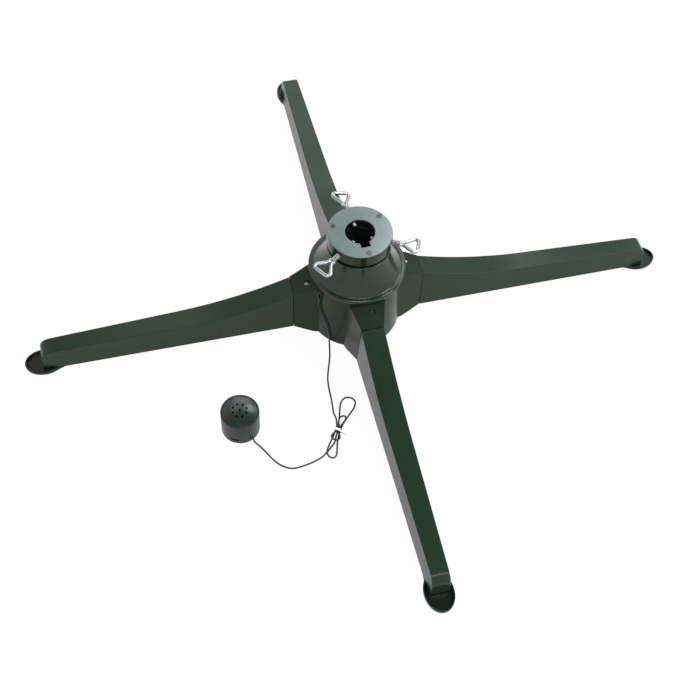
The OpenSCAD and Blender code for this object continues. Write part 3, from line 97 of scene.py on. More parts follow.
def from_pod(r, z):
    """A place at the cord's way into the pod."""
    return [POD_AT[0] + r * math.cos(POD_ENTRY_AZIMUTH), POD_AT[1] + r * math.sin(POD_ENTRY_AZIMUTH), z]


def smooth(route, steps):
    """A line through the points of a route: between each two, the cubic that leaves and
    arrives parallel to the chords of their neighbours, at so many steps."""
    p = np.array(route, float)
    p = np.vstack([p[:1], p, p[-1:]])
    a, b, c, d = (q[:, None] for q in (p[:-3], p[1:-2], p[2:-1], p[3:]))
    t = (np.arange(steps) / steps)[None, :, None]
    line = 2 * b + (c - a) * t + (2 * a - 5 * b + 4 * c - d) * t ** 2 + (3 * b - a - 3 * c + d) * t ** 3
    return np.vstack([line.reshape(-1, 3) / 2, p[-1:]])


def ease(t):
    """0 to 1 with no jerk at either end: 3t^2 - 2t^3."""
    t = np.clip(t, 0, 1)
    return t * t * (3 - 2 * t)


FOLD_RINGS = 72
CROSSING_FROM, CROSSING_FOR = 0.35, 0.3


def fold(way, shape, start, end, lay, hold, settle):
    """One fold of the hank from slot start to slot end: along the bundle length * sin(pi t)^power,
    across it a straight run between the slots plus width/2 * sin(2 pi t), and aside by a lean. It
    comes down from the slots to the heights of its lay over a share of the turn, settle, and a
    share sooner before the end, hold. The rings crowd at the tie: t = turn - crowd * sin(2 pi turn)
    / (2 pi)."""
    length, power, width, lean, crowd = shape
    turn = np.arange(FOLD_RINGS + 1) / FOLD_RINGS
    t = turn - crowd * np.sin(2 * np.pi * turn) / (2 * np.pi)
    s = np.sin(np.pi * t).clip(0) ** power
    out = np.sign(start[0] - end[0]) * width / 2 * np.sin(2 * np.pi * t)
    z_start = start[1] + (lay[0] - start[1]) * ease(t / settle)
    z_end = end[1] + (lay[1] - end[1]) * ease((1 - t - hold) / settle)
    z = z_start + (z_end - z_start) * ease((t - CROSSING_FROM) / CROSSING_FOR)
    u = way * (TIE_HALF + length * s)
    v = start[0] + (end[0] - start[0]) * t + out + lean * length * s * np.sin(np.pi * t)
    return beside_tie(u, v, z)


SLOT_A, SLOT_B, SLOT_C = (SLOT_PITCH, LOW_Z), (-0.2, LOW_Z), (-SLOT_PITCH, LOW_Z)
SLOT_D, SLOT_E = (-SLOT_PITCH / 2, HIGH_Z), (SLOT_PITCH / 2, HIGH_Z)
hank_line = np.vstack([
    [beside_tie(TIE_HALF, *SLOT_A)],
    fold(-1, (32, 0.543, 8.42, -0.09, 0.86), SLOT_A, SLOT_C, (CORD_R, CORD_R), 0, 0.12),
    fold(1, (44, 0.6, 14.5, -0.02, 0.86), SLOT_C, SLOT_E, (CORD_R, CORD_R), 0.05, 0.1),
    fold(-1, (10.5, 1.1, 8, -0.06, 0.32), SLOT_E, SLOT_D, (HIGH_Z, HIGH_Z), 0, 0.2),
    fold(1, (17.1, 0.714, 7, 0, 0.855), SLOT_D, SLOT_B, (HIGH_Z, 1.1 * CORD_R), 0, 0.2),
    [beside_tie(-TIE_HALF, *SLOT_B)]])

drop_route = [
    from_hub(CORD_EXIT_R), from_hub(CORD_EXIT_R + 2), from_hub(CORD_EXIT_R + 4),
    [-50.7, -24.1, 82.5], [-52, -24.8, 80.6], [-52.4, -25, 78], [-51.9, -24.7, 75], [-50.9, -24.1, 71.5],
    [-50.4, -23.7, 67], [-50.4, -23.4, 60], [-49.6, -25.5, 51], [-46.5, -31.4, 41], [-43.2, -36.3, 31],
    [-41.5, -38.6, 21], [-40.4, -40.4, 11], [-40.3, -41.2, 6.5], [-40.5, -43, 3], [-41.3, -47, 1.2],
    [-42.4, -53, 1], [-45.1, -64, 1], [-49.5, -77, 1], [-53.8, -91, 1], [-55.6, -105, 1],
    [-56.3, -121, 1], [-57.8, -137, 1], beside_tie(15, 6.4, 1), beside_tie(6.9, 3.3, 1.7),
    beside_tie(5.2, *SLOT_A), beside_tie(TIE_HALF + 1, *SLOT_A), beside_tie(TIE_HALF, *SLOT_A)]
tail_route = [
    beside_tie(-TIE_HALF, *SLOT_B), beside_tie(-TIE_HALF - 1, *SLOT_B), beside_tie(-TIE_HALF - 2, *SLOT_B),
    beside_tie(-8, -0.2, 1.3), beside_tie(-14, -0.8, 1.05), beside_tie(-19, -0.2, 2.2),
    beside_tie(-24, 1.2, 3.5), beside_tie(-29, 2.4, 3.6), beside_tie(-33, 4.6, 3.4),
    [-82, -190.5, 1.8], [-89, -193.5, 1], [-98, -196, 1], [-109, -198, 1], [-118, -198.4, 1],
    [-125.5, -195.8, 1], [-133, -190, 1], [-139, -182, 1], [-144, -173, 1], [-149, -164.5, 1.6],
    from_pod(28, 4), from_pod(24.5, 6.6), from_pod(22, 7.2), from_pod(17, 7.2), from_pod(12.5, 7.2)]


STEEP = 0.9


def frames(path, closed=False):
    """Along a path: two axes across it that turn no more than the path makes them, and its direction."""
    if closed:
        along = np.roll(path, -1, 0) - np.roll(path, 1, 0)
    else:
        along = np.gradient(path, axis=0)
    along /= np.linalg.norm(along, axis=1)[:, None]
    level = [0, 0, 1] if abs(along[0][2]) < STEEP else [1, 0, 0]
    first = np.cross(along[0], level)
    sides = [first / np.linalg.norm(first)]
    for direction in along[1:]:
        side = sides[-1] - direction * (sides[-1] @ direction)
        sides.append(side / np.linalg.norm(side))
    sides = np.array(sides)
    return sides, np.cross(along, sides), along


def ring_faces(rings, sides, closed=False, first=0):
    """Faces between neighbouring rings of a tube, whose points are numbered from first. The rings
    close on themselves, or end in flat caps."""
    i, j = np.meshgrid(np.arange(rings if closed else rings - 1), np.arange(sides), indexing="ij")
    i, j = i.ravel() * sides, j.ravel()
    after, beside = (i + sides) % (rings * sides), (j + 1) % sides
    faces = (first + np.stack([after + j, after + beside, i + beside, i + j], 1)).tolist()
    last = first + (rings - 1) * sides
    caps = [list(range(first, first + sides)), list(range(last, last + sides))[::-1]]
    return faces if closed else faces + caps


def carried(path, outline, closed=False, twist=0.0):
    """A flat outline carried along a path: each ring is path + u * side + v * up for the outline's
    points (u, v), which a twist turns about the path first."""
    side, up, _ = frames(path, closed)
    u, v = np.array(outline, float).T
    turn = np.broadcast_to(twist, len(path))[:, None]
    c, s = np.cos(turn), np.sin(turn)
    aside, above = (c * u - s * v)[:, :, None], (s * u + c * v)[:, :, None]
    points = path[:, None] + (aside * side[:, None] + above * up[:, None])
    return points.reshape(-1, 3), ring_faces(len(path), len(u), closed)


def circle(radius, sides):
    """Points round a circle about the origin: radius * (cos a, sin a)."""
    a = np.linspace(0, 2 * np.pi, sides, endpoint=False)
    return radius * np.stack([np.cos(a), np.sin(a)], 1)


def new_piece(name, points, faces, material, body):
    """A smooth mesh object at the origin, from points in metres and faces, riding on a body."""
    mesh = bpy.data.meshes.new(name)
    mesh.from_pydata(points.tolist(), [], faces)
    mesh.polygons.foreach_set("use_smooth", [True] * len(mesh.polygons))
    mesh.materials.append(material)
    mesh.update()
    piece = bpy.data.objects.new(name, mesh)
    bpy.context.scene.collection.objects.link(piece)
    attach(piece, body)
    return piece


class Nodes:
    """A node tree, emptied and ready for nodes."""

    def __init__(self, tree):
        self.tree = tree
        tree.nodes.clear()

    def give(self, socket, value):
        """Links a socket to a field or to another socket, or sets it to a constant."""
        value = value.socket if isinstance(value, Field) else value
        if isinstance(value, bpy.types.NodeSocket):
            self.tree.links.new(value, socket)
        else:
            socket.default_value = value

    def node(self, kind, settings=None, *values, **named):
        """Adds a node of a kind: its settings first, then the values or links of its sockets."""
        made = self.tree.nodes.new(kind)
        for key, value in (settings or {}).items():
            setattr(made, key, value)
        for place, value in enumerate(values):
            self.give(made.inputs[place], value)
        for key, value in named.items():
            self.give(made.inputs[key.replace("_", " ")], value)
        return made

    def end(self, kind, shader):
        """Adds the tree's output, which a shader feeds."""
        self.node(kind, None, shader.outputs[0])


class Field:
    """A number that differs from place to place: arithmetic on it adds the tree's Math nodes."""

    def __init__(self, nodes, socket):
        self.nodes = nodes
        self.socket = socket

    def _math(self, operation, first, second):
        made = self.nodes.node("ShaderNodeMath", {"operation": operation}, first, second)
        return Field(self.nodes, made.outputs[0])

    def __add__(self, other):
        return self._math("ADD", self, other)

    def __radd__(self, other):
        return self._math("ADD", other, self)

    def __sub__(self, other):
        return self._math("SUBTRACT", self, other)

    def __rsub__(self, other):
        return self._math("SUBTRACT", other, self)

    def __mul__(self, other):
        return self._math("MULTIPLY", self, other)

    def __rmul__(self, other):
        return self._math("MULTIPLY", other, self)

    def rise(self, low, high):
        """0 below low, 1 above high, and smooth between them."""
        settings = {"interpolation_type": "SMOOTHSTEP"}
        made = self.nodes.node("ShaderNodeMapRange", settings, self.socket, low, high, 0.0, 1.0)
        return Field(self.nodes, made.outputs[0])


class Finish(Nodes):
    """A node material: one Principled shader, and the fields and colours that feed it."""

    def __init__(self, name, base, roughness, metallic=0.0, coat=0.0, coat_roughness=0.05, specular=0.5):
        self.material = bpy.data.materials.new(name)
        self.material.use_nodes = True
        self.material.diffuse_color = (*base, 1.0)
        super().__init__(self.material.node_tree)
        self.shader = self.node("ShaderNodeBsdfPrincipled", None, Base_Color=(*base, 1.0),
                                Roughness=roughness, Metallic=metallic, Coat_Weight=coat,
                                Coat_Roughness=coat_roughness, Specular_IOR_Level=specular)
        self.end("ShaderNodeOutputMaterial", self.shader)
        self.place = self.node("ShaderNodeTexCoord").outputs["Object"]

    def noise(self, per_metre, detail=2.0, roughness=0.5, stretch=(1, 1, 1)):
        """A cloudy field of so many lumps a metre, stretched along the axes."""
        place = self.node("ShaderNodeVectorMath", {"operation": "MULTIPLY"}, self.place, stretch).outputs[0]
        made = self.node("ShaderNodeTexNoise", None, Vector=place, Scale=per_metre, Detail=detail,
                         Roughness=roughness)
        return Field(self, made.outputs[0])

    def height(self):
        """The height over the floor, in metres."""
        return Field(self, self.node("ShaderNodeSeparateXYZ", None, self.place).outputs["Z"])

    def mixed(self, field, first, second):
        """A colour between two, by a field from 0 to 1."""
        made = self.node("ShaderNodeMix", {"data_type": "RGBA"}, field)
        first_socket, second_socket = made.inputs[6:8]
        for socket, colour in ((first_socket, first), (second_socket, second)):
            self.give(socket, (*colour, 1.0) if isinstance(colour, tuple) else colour)
        return made.outputs[2]

    def feed(self, name, value):
        """Gives one of the shader's sockets a field or a colour."""
        self.give(self.shader.inputs[name], value)

    def bump(self, height, distance, strength=1.0):
        """Raises the surface by height times a distance in metres."""
        made = self.node("ShaderNodeBump", None, Strength=strength, Distance=distance, Height=height)
        self.feed("Normal", made.outputs[0])


def shade(colour, share):
    """A colour made lighter or darker by a share of itself."""
    return tuple(min(1.0, c * share) for c in colour)


cord_green = (0.003, 0.007, 0.008)
cord_finish = Finish("cord skin", cord_green, 0.32, specular=0.5)
cord_cloud = cord_finish.noise(160.0, detail=3.0)
cord_finish.feed("Base Color", cord_finish.mixed(cord_cloud.rise(0.3, 0.7), shade(cord_green, 0.8),
                                                 shade(cord_green, 1.35)))
cord_finish.feed("Roughness", 0.26 + 0.12 * cord_cloud)
cord_finish.bump(cord_finish.noise(2200.0), 0.00005, 0.5)

ROUTE_STEPS, CORD_SIDES = 6, 16
cord_lines = {"cord_drop": smooth(drop_route, ROUTE_STEPS), "cord_hank": hank_line,
              "cord_tail": smooth(tail_route, ROUTE_STEPS)}
cord_paths, cord_skins = {}, {}
for name, line in cord_lines.items():
    path = line * MM
    path[:, 2] = np.maximum(path[:, 2], CORD_R * MM)
    tube = carried(path, circle(CORD_R * MM, CORD_SIDES))
    skin = new_piece(name + "_skin", *tube, cord_finish.material, "root")
    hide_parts(name)
    cord_paths[name], cord_skins[name] = path, skin

# Wire tie
# A thin plastic-skinned wire bent once round the five strands of the hank. Its two ends are
# twisted together and left lying to the right of the bundle.
BAND_W, BAND_CORNER = 3.2, 0.3
ENDS_L, ENDS_W, ENDS_T, ENDS_CORNER, ENDS_TURNS = 7.4, 2.1, 0.8, 0.35, 2.5
ENDS_SWING, ENDS_ARCH, ENDS_RINGS = math.radians(-14), 0.5, 48
ENDS_FROM_V, ENDS_Z = -(SLOT_PITCH + CORD_R + 0.25), 1.0
CORNER_STEPS, STRAND_STEPS = 4, 7


def rounded_outline(width, height, corner):
    """A rectangle about the origin with its corners rounded to a radius, anticlockwise: each
    corner's centre + corner * (cos a, sin a) over its quarter turn."""
    quarters = np.arange(4)[:, None] * np.pi / 2
    a = np.linspace(0, np.pi / 2, CORNER_STEPS + 1)[None] + quarters
    centres = np.array([(1, 1), (-1, 1), (-1, -1), (1, -1)]) * (width / 2 - corner, height / 2 - corner)
    return (centres[:, None] + corner * np.stack([np.cos(a), np.sin(a)], 2)).reshape(-1, 2)


def round_strands():
    """The closed line round the bundle: the outer edge of circles at its four outermost strands,
    each turned from the direction off the one before to that off the one after."""
    reach = CORD_R + STRAND_SLACK + BAND_T / 2
    strands = np.array([SLOT_A, SLOT_E, SLOT_D, SLOT_C])
    v_in, z_in = (strands - np.roll(strands, 1, 0)).T
    v_out, z_out = (np.roll(strands, -1, 0) - strands).T
    start, end = np.arctan2(z_in, v_in) - np.pi / 2, np.arctan2(z_out, v_out) - np.pi / 2
    end += np.where(end < start, 2 * np.pi, 0)
    a = np.linspace(start, end, STRAND_STEPS).T
    v, z = strands[:, :1] + reach * np.cos(a), strands[:, 1:] + reach * np.sin(a)
    return beside_tie(0, v.ravel(), np.maximum(z.ravel(), BAND_T / 2)) * MM


tie_finish = Finish("tie plastic", (0.80, 0.83, 0.82), 0.28, coat=0.3)
tie_wear = tie_finish.noise(700.0)
tie_finish.feed("Base Color", tie_finish.mixed(tie_wear.rise(0.35, 0.7), (0.62, 0.66, 0.65),
                                               (0.86, 0.88, 0.87)))
tie_finish.feed("Roughness", 0.20 + 0.20 * tie_wear)
tie_finish.bump(tie_wear, 0.0001, 0.6)

band_line = round_strands()
band_side, _, band_along = frames(band_line, closed=True)
bundle_axis = np.array([math.cos(TIE_TURN), math.sin(TIE_TURN), 0])
band_lead = math.atan2(np.cross(band_side[0], bundle_axis) @ band_along[0], band_side[0] @ bundle_axis)
band_outline = rounded_outline(BAND_W * MM, BAND_T * MM, BAND_CORNER * MM)
band_mesh = carried(band_line, band_outline, closed=True, twist=band_lead)

ends_azimuth = TIE_TURN - math.pi / 2 + ENDS_SWING
ends_way = np.array([math.cos(ends_azimuth), math.sin(ends_azimuth), 0])
share = np.linspace(0, 1, ENDS_RINGS)[:, None]
ends_line = beside_tie(0, ENDS_FROM_V, ENDS_Z) + ENDS_L * share * ends_way
ends_line[:, 2:] += ENDS_ARCH * np.sin(np.pi * share)
ends_outline = rounded_outline(ENDS_W * MM, ENDS_T * MM, ENDS_CORNER * MM)
ends_mesh = carried(ends_line * MM, ends_outline, twist=2 * np.pi * ENDS_TURNS * share[:, 0])

tie_pieces = [new_piece("tie_band", *band_mesh, tie_finish.material, "root"),
              new_piece("tie_tail", *ends_mesh, tie_finish.material, "root")]
for piece in tie_pieces:
    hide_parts("hank_tie")

# Hub drum and legs
# The drum and the four legs are injection moulded in dark green plastic with a satin skin. Each
# leg plugs onto a stub of the drum. Their edges leave the mould slightly rounded.
SHARP_ANGLE, FLAT_ANGLE = math.radians(33), math.radians(0.4)
SAME_POINT = 1e-6
# The last two heights bound the painted shade on the legs' feet.
LEG_EDGE, LEG_PLAIN_BELOW, FOOT_TOP, SHADE_BLEND = 1.0 * MM, 7.0 * MM, 7.5 * MM, 1.0 * MM


def soften_group():
    """Geometry nodes: joins the loose triangles and shades them smooth, but for edges over the sharp
    angle and the flat faces below a height, which stay as they are."""
    group = bpy.data.node_groups.new("soften", "GeometryNodeTree")
    group.interface.new_socket("Geometry", in_out="INPUT", socket_type="NodeSocketGeometry")
    group.interface.new_socket("Keep below", in_out="INPUT", socket_type="NodeSocketFloat")
    group.interface.new_socket("Geometry", in_out="OUTPUT", socket_type="NodeSocketGeometry")
    nodes = Nodes(group)
    given = nodes.node("NodeGroupInput")
    place = nodes.node("GeometryNodeInputPosition").outputs[0]
    height = nodes.node("ShaderNodeSeparateXYZ", None, place).outputs["Z"]
    angle = nodes.node("GeometryNodeInputMeshEdgeAngle").outputs[0]
    less, more = ({"data_type": "FLOAT", "operation": each} for each in ("LESS_THAN", "GREATER_THAN"))
    low = nodes.node("FunctionNodeCompare", less, height, given.outputs["Keep below"]).outputs[0]
    sharp = nodes.node("FunctionNodeCompare", more, angle, SHARP_ANGLE).outputs[0]
    kept = nodes.node("FunctionNodeBooleanMath", {"operation": "OR"}, low, sharp).outputs[0]
    joined = nodes.node("GeometryNodeMergeByDistance", None, Geometry=given.outputs[0], Distance=SAME_POINT)
    plain = nodes.node("GeometryNodeRemoveAttribute", None, Geometry=joined.outputs[0], Name="custom_normal")
    faces = nodes.node("GeometryNodeSetShadeSmooth", {"domain": "FACE"}, Geometry=plain.outputs[0])
    edges = nodes.node("GeometryNodeSetShadeSmooth", {"domain": "EDGE"}, Geometry=faces.outputs[0],
                       Selection=kept, Shade_Smooth=False)
    nodes.end("NodeGroupOutput", edges)
    return group


soften = soften_group()


def dress(node, material, edge=0.0, keep_below=-1.0):
    """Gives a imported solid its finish, smooth shading, and edges rounded to a radius in metres."""
    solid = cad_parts[node]
    solid.data.materials.clear()
    solid.data.materials.append(material)
    modifier = solid.modifiers.new("soften", "NODES")
    modifier.node_group = soften
    modifier[soften.interface.items_tree["Keep below"].identifier] = keep_below
    if edge:
        flat = solid.modifiers.new("flat", "DECIMATE")
        flat.decimate_type, flat.angle_limit, flat.delimit = "DISSOLVE", FLAT_ANGLE, {"SHARP"}
        bevel = solid.modifiers.new("edges", "BEVEL")
        bevel.limit_method, bevel.angle_limit = "ANGLE", SHARP_ANGLE
        bevel.width, bevel.segments, bevel.use_clamp_overlap = edge, 3, False
        bevel.harden_normals = True


def moulded(name, base, roughness, specular=0.25, painted_shade_below=None):
    """Moulded plastic: slight colour drift, the mould's fine grain, shallow sink marks, faint dust,
    and below a height painted shade: the base colour darkened to stand in for the shade in the feet's dishes."""
    finish = Finish(name, base, roughness, coat_roughness=0.12, specular=specular)
    drift = finish.noise(9.0, detail=3.0).rise(0.3, 0.7)
    specks = finish.noise(2600.0, detail=1.0).rise(0.70, 0.80)
    clouds = finish.noise(38.0, detail=4.0, roughness=0.6).rise(0.35, 0.75)
    colour = finish.mixed(drift, shade(base, 0.90), shade(base, 1.12))
    colour = finish.mixed(specks * clouds * 0.5, colour, shade(base, 3.0))
    # Painted shade: below the height the base colour is darkened to 0.4 of itself, for the shade in the
    # dishes.
    if painted_shade_below:
        over = finish.height().rise(painted_shade_below - SHADE_BLEND, painted_shade_below + SHADE_BLEND)
        colour = finish.mixed(over, shade(base, 0.4), colour)
    finish.feed("Base Color", colour)
    finish.feed("Roughness", roughness - 0.03 + 0.07 * clouds + 0.05 * specks)
    grain, sinks = finish.noise(1500.0), finish.noise(26.0, detail=1.0)
    finish.bump(grain * 0.04 + sinks * 1.2, 0.00016, 0.5)
    return finish.material


dress("hub_drum", moulded("hub plastic", (0.0075, 0.0155, 0.0090), 0.24, 0.15))
# The legs' feet get painted shade below FOOT_TOP.
leg_finish = moulded("leg plastic", (0.0080, 0.0200, 0.0115), 0.22, 0.21, painted_shade_below=FOOT_TOP)
for node in ("leg_east", "leg_north", "leg_west", "leg_south"):
    dress(node, leg_finish, LEG_EDGE, LEG_PLAIN_BELOW)

# Bell and collar
# The bell covers the drum's top and the collar turns in its neck. Both are moulded in the same
# dark green plastic as the drum, with a glossier skin, and screwed on.
bell_green = (0.0055, 0.0155, 0.0075)
dress("bell", moulded("bell plastic", bell_green, 0.19, 0.41))
dress("collar", moulded("collar plastic", bell_green, 0.16, 0.20))

# Sound pod's shell
# A small round case with a domed cap over its speaker. Both are moulded green plastic, the case
# duller and the cap glossier, and screws hold them together from below.
dress("pod_base", moulded("pod plastic", (0.014, 0.023, 0.018), 0.34, 0.18))
dress("pod_cap", moulded("pod cap plastic", (0.006, 0.015, 0.010), 0.22, 0.50))

# Top plate
# A pressed steel disc with a keyed hole for the tree's pole. It is painted a glossy grey-green,
# its edges are slightly rounded, and three countersunk screws hold it on the collar.
PLATE_EDGE = 0.8 * MM
plate_green = (0.074, 0.110, 0.101)
plate_finish = Finish("plate paint", plate_green, 0.16, coat=0.6, coat_roughness=0.16)
plate_drift = plate_finish.noise(55.0, detail=3.0)
plate_finish.feed("Base Color", plate_finish.mixed(plate_drift.rise(0.3, 0.7), shade(plate_green, 0.92),
                                                   shade(plate_green, 1.08)))
plate_finish.feed("Roughness", 0.12 + 0.08 * plate_drift)
plate_finish.bump(plate_finish.noise(420.0), 0.00006, 0.35)
dress("top_plate", plate_finish.material, PLATE_EDGE)

# Clamp screws
# Three plated steel screws pass through nuts in the collar and press on the tree's pole. Each is
# turned by a bent wire handle, whose two ends leave the shank side by side.
WIRE_R, WIRE_SIDES = 2.1, 24
HANDLE_FROM, NECK_END, BASE_AT, BASE_HALF = 45.8, 51.2, 67.0, 14.4
NECK_HALF = WIRE_R + 0.05
NECK_BEND, BASE_BEND, BEND_STEPS, WIRE_STEP = 5.0, 4.0, 25, 0.6
SHANK_R, SHANK_END, SHANK_SIDES = 3.0, 46.5, 48
THREAD_PITCH, THREAD_DEPTH, THREAD_CREST, THREAD_ROOT, RINGS_A_PITCH = 1.25, 0.62, 0.08, 0.88, 12
TIP_L, TIP_CHAMFER, RUNOUT_L = 0.8, 0.5, 2.0
CLAMP_Z = 144.0
CLAMP_AZIMUTH_ROLL_TIP = {"a": (96, 20, 14.3), "b": (-24, -8.5, 12.7), "c": (216, -2, 10.8)}


def metal(name, base, roughness, grain=(1, 1, 1)):
    """Plated or drawn metal: fine scratches drawn out one way, and slight tarnish in patches."""
    finish = Finish(name, base, roughness, metallic=1.0)
    scratches = finish.noise(900.0, 3.0, 0.6, grain)
    tarnish = finish.noise(120.0, detail=3.0).rise(0.35, 0.75)
    finish.feed("Base Color", finish.mixed(tarnish, shade(base, 1.05), shade(base, 0.82)))
    finish.feed("Roughness", roughness * 0.75 + roughness * 0.6 * scratches)
    finish.bump(scratches, 0.00004, 0.4)
    return finish.material


def bent_line(corners, radii, spacing):
    """A flat line through corners rounded to radii, as points at even spacing. On each arc the
    direction from its centre is (sin((1 - t) f) first + sin(t f) last) / sin f, f being its whole turn."""
    before, at, after = corners[:-2], corners[1:-1], corners[2:]
    back = (before - at) / np.linalg.norm(before - at, axis=1)[:, None]
    on = (after - at) / np.linalg.norm(after - at, axis=1)[:, None]
    half = np.arccos((back * on).sum(1)) / 2
    middle = (back + on) / np.linalg.norm(back + on, axis=1)[:, None]
    centre = at + middle * (radii / np.sin(half))[:, None]
    reach = (radii / np.tan(half))[:, None]
    first, last = (at + back * reach - centre)[:, None], (at + on * reach - centre)[:, None]
    t, f = np.linspace(0, 1, BEND_STEPS)[None, :, None], (np.pi - 2 * half)[:, None, None]
    arcs = centre[:, None] + (np.sin((1 - t) * f) * first + np.sin(t * f) * last) / np.sin(f)
    line = np.vstack([corners[:1], arcs.reshape(-1, 2), corners[-1:]])
    run = np.concatenate([[0], np.cumsum(np.linalg.norm(np.diff(line, axis=0), axis=1))])
    even = np.linspace(0, run[-1], round(run[-1] / spacing) + 1)
    return np.stack([np.interp(even, run, line[:, k]) for k in range(2)], 1)


def handle_line(roll):
    """The handle's centre line in the plane that is rolled about the screw's axis."""
    out = np.array([(HANDLE_FROM, NECK_HALF), (NECK_END, NECK_HALF), (BASE_AT, BASE_HALF)])
    corners = np.vstack([out, out[::-1] * (1, -1)])
    u, v = bent_line(corners, np.array([NECK_BEND, BASE_BEND, BASE_BEND, NECK_BEND]), WIRE_STEP).T
    return np.stack([u, v * math.cos(roll), v * math.sin(roll)], 1)


def threaded_shank(tip_at, first):
    """A screw's surface round its axis, its points numbered from first: the radius falls by depth
    from each turn's crest to its root, as a flattened triangle wave of (distance / pitch - angle /
    full turn), and the thread runs out at both ends."""
    x = np.arange(tip_at, SHANK_END + SAME_POINT, THREAD_PITCH / RINGS_A_PITCH)[:, None]
    a = np.linspace(0, 2 * np.pi, SHANK_SIDES, endpoint=False)
    wave = np.abs(((x / THREAD_PITCH - a / (2 * np.pi)) % 1.0) * 2 - 1)
    root = np.clip((wave - THREAD_CREST) / (THREAD_ROOT - THREAD_CREST), 0, 1)
    runout = np.clip(np.minimum((x - tip_at) / TIP_L, (SHANK_END - x) / RUNOUT_L), 0, 1)
    r = SHANK_R - THREAD_DEPTH * runout * root - TIP_CHAMFER * np.clip(1 - (x - tip_at) / TIP_L, 0, 1)
    points = np.stack([np.broadcast_to(x, r.shape), r * np.cos(a), r * np.sin(a)], 2)
    return points.reshape(-1, 3), ring_faces(len(x), SHANK_SIDES, first=first)


def on_radial_line(points, azimuth):
    """Points (along, aside, up) of a clamp screw in millimetres, set on its radial line in metres."""
    along, aside, up = points.T
    c, s = math.cos(azimuth), math.sin(azimuth)
    return np.stack([along * c - aside * s, along * s + aside * c, up + CLAMP_Z], 1) * MM


bright_plating = metal("bright plating", (0.37, 0.38, 0.39), 0.12)
for letter, (azimuth, roll, tip_at) in CLAMP_AZIMUTH_ROLL_TIP.items():
    wire_points, wire_faces = carried(handle_line(math.radians(roll)), circle(WIRE_R, WIRE_SIDES))
    shank_points, shank_faces = threaded_shank(tip_at, len(wire_points))
    points = on_radial_line(np.vstack([wire_points, shank_points]), math.radians(azimuth))
    faces = wire_faces + shank_faces
    clamp = new_piece(f"clamp_{letter}_screw", points, faces, bright_plating, f"clamp_{letter}")
    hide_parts(f"clamp_screw_{letter}")

# Screws, tube, bearing and motor
# Zinc plated screws and nuts, plate screws whose near-black colour is painted shade for their recesses,
# a steel tube that turns the head, coloured blackened steel as painted shade for the gap under the collar,
# ground bearing races and balls in a pressed brass cage, and the drawn steel cans of the geared motor.
screw_plating = metal("zinc plating", (0.36, 0.37, 0.37), 0.34)
blackened = metal("blackened steel", (0.10, 0.10, 0.11), 0.40)
ground = metal("ground steel", (0.62, 0.63, 0.64), 0.22, (6, 6, 0.4))
drawn = metal("drawn steel", (0.48, 0.49, 0.50), 0.34, (5, 5, 0.3))
for node in ("base_screws", "bell_screws", "motor_screws", "pod_screws", "clamp_nuts"):
    dress(node, screw_plating)
# Painted shade: the socket tube and the switch case get this dark metal to stand in for the shade in the gap
# under the collar and in the pod's switch slot; the grub screws and the ring have it as their own finish.
for node in ("socket_tube", "gear_grub_screws", "retaining_ring", "pod_switch_case"):
    dress(node, blackened)
for node in ("lower_race", "upper_race", "bearing_balls", "motor_shaft"):
    dress(node, ground)
for node in ("tube_foot", "motor_gearbox", "motor_can"):
    dress(node, drawn)
dress("ball_cage", metal("pressed brass", (0.70, 0.50, 0.18), 0.30))
dress("leg_screws", metal("leg screw plating", (0.21, 0.22, 0.22), 0.30))
# Painted shade: the plate screws' near-black metal stands in for the shade in their countersunk recesses.
dress("plate_screws", metal("plate screw steel darkened as recess shade", (0.09, 0.10, 0.10), 0.20))


# Bushes, gears, boards and pads
# Moulded nylon bushes and gears, rubber pads and grommets, the dark liner that the pole slides
# into, glass laminate boards with black parts, and the skins of the short inner leads.
def soft_part(name, base, roughness):
    """Rubber or small moulded parts: a fine grain and a slight bloom."""
    finish = Finish(name, base, roughness)
    bloom = finish.noise(90.0, detail=3.0)
    finish.feed("Base Color", finish.mixed(bloom.rise(0.35, 0.7), shade(base, 0.85), shade(base, 1.25)))
    finish.feed("Roughness", roughness - 0.05 + 0.1 * bloom)
    finish.bump(finish.noise(1800.0), 0.00006, 0.6)
    return finish.material


black_part = soft_part("black plastic", (0.014, 0.015, 0.015), 0.45)
rubber = soft_part("rubber", (0.016, 0.017, 0.017), 0.65)
nylon = soft_part("natural nylon", (0.62, 0.59, 0.50), 0.40)
laminate = soft_part("board laminate", (0.02, 0.12, 0.05), 0.35)
# Painted shade: the neck bush is given black plastic to stand in for the shade in the gap under the collar.
for node in ("dc_jack", "board_parts", "pod_speaker", "neck_bush"):
    dress(node, black_part)
for node in ("foot_pads", "cord_grommet", "pod_grommet"):
    dress(node, rubber)
for node in ("pivot_bush", "ring_gear", "motor_pinion"):
    dress(node, nylon)
for node in ("control_board", "pod_board"):
    dress(node, laminate)
# Painted shade: the knob's near-black colour stands in for the shade in the pod's switch slot.
dress("pod_switch_knob", soft_part("knob plastic darkened as slot shade", (0.003, 0.003, 0.003), 0.75))
dress("pole_sleeve", soft_part("liner plastic", (0.008, 0.010, 0.009), 0.35))
dress("base_cover", soft_part("base plastic", (0.018, 0.022, 0.020), 0.5))
dress("motor_lead", soft_part("red lead", (0.30, 0.02, 0.015), 0.40))
dress("pod_lead", cord_finish.material)

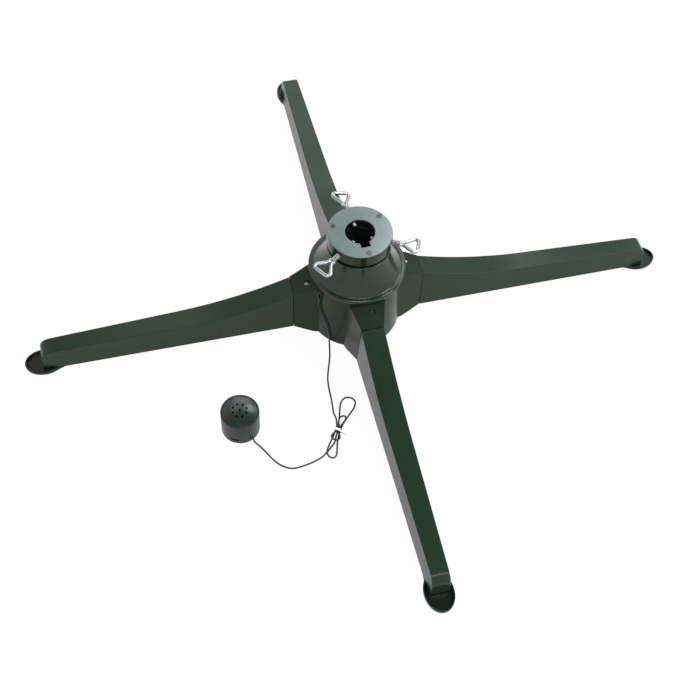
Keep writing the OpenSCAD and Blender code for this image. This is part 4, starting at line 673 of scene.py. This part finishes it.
# Floor
# A pale matt floor, which the camera sees as white. It glows evenly for what looks straight at it,
# less for what mirrors it, and takes the object's faint shadow.
FLOOR_HALF = 6.0
SEEN_GLOW, MIRRORED_GLOW = 0.95, 0.66
PLAIN_WHITE = (1.0, 1.0, 1.0, 1.0)
floor_material = bpy.data.materials.new("floor")
floor_material.use_nodes = True
floor_nodes = Nodes(floor_material.node_tree)
rays = floor_nodes.node("ShaderNodeLightPath")
is_seen, is_mirrored, is_through = (Field(floor_nodes, rays.outputs[f"Is {kind} Ray"])
                                    for kind in ("Camera", "Glossy", "Transmission"))
glow_share = (is_seen + is_through) * SEEN_GLOW + is_mirrored * MIRRORED_GLOW
paint = floor_nodes.node("ShaderNodeBsdfDiffuse", None, (0.80, 0.80, 0.80, 1.0))
glow = floor_nodes.node("ShaderNodeEmission", None, PLAIN_WHITE, 1.0)
floor_nodes.end("ShaderNodeOutputMaterial", floor_nodes.node("ShaderNodeMixShader", None, glow_share,
                                                             paint.outputs[0], glow.outputs[0]))
floor_corners = [(x * FLOOR_HALF, y * FLOOR_HALF, 0) for x, y in ((-1, -1), (1, -1), (1, 1), (-1, 1))]
floor_mesh = bpy.data.meshes.new("floor")
floor_mesh.from_pydata(floor_corners, [], [(0, 1, 2, 3)])
floor_mesh.materials.append(floor_material)
floor = bpy.data.objects.new("floor", floor_mesh)
bpy.context.scene.collection.objects.link(floor)

# Room and lamps
# A white room whose ceiling is dimmer than its walls, and soft boxes round the stand.
# The boxes' places are as seen from the camera: to its right, away from it, and up.
WALL_GLOW, CEILING_GLOW = 1.15, 0.30
WALL_TOP, CEILING_FROM = 0.68, 0.93
AIM = Vector((0.0, 0.0, 0.05))
room = bpy.data.worlds.new("room")
room.use_nodes = True
room_nodes = Nodes(room.node_tree)
way = room_nodes.node("ShaderNodeTexCoord").outputs["Generated"]
steepness = Field(room_nodes, room_nodes.node("ShaderNodeSeparateXYZ", None, way).outputs["Z"])
room_glow = WALL_GLOW - (WALL_GLOW - CEILING_GLOW) * steepness.rise(WALL_TOP, CEILING_FROM)
room_nodes.end("ShaderNodeOutputWorld", room_nodes.node("ShaderNodeBackground", None, PLAIN_WHITE, room_glow))
bpy.context.scene.world = room


def softbox(name, place, width, height, watts, colour=(1.0, 1.0, 1.0)):
    """A rectangular soft light at a place, facing the stand."""
    data = bpy.data.lights.new(name, "AREA")
    data.shape, data.size, data.size_y = "RECTANGLE", width, height
    data.energy, data.color = watts, colour
    lamp = bpy.data.objects.new(name, data)
    lamp.location = stand_turn @ Vector(place)
    lamp.rotation_euler = (stand_turn @ (AIM - Vector(place))).to_track_quat("-Z", "Y").to_euler()
    bpy.context.scene.collection.objects.link(lamp)


softbox("camera light", (0.32, -1.05, 2.40), 1.25, 0.24, 24)
softbox("high side light", (1.75, -0.35, 1.85), 0.36, 1.30, 24)
softbox("low side light", (2.20, 0.60, 0.85), 0.90, 0.50, 12, (0.90, 0.99, 1.0))
softbox("far side light", (1.60, 1.55, 1.90), 0.60, 0.60, 5, (0.70, 0.97, 1.0))
softbox("plate light", (0.63, 1.96, 2.75), 1.00, 0.80, 16, (0.88, 0.97, 1.0))
softbox("far light", (-0.30, 2.35, 1.85), 1.40, 1.10, 8, (0.85, 1.0, 0.92))
softbox("far left light", (-0.80, 1.60, 2.65), 0.90, 0.70, 3)
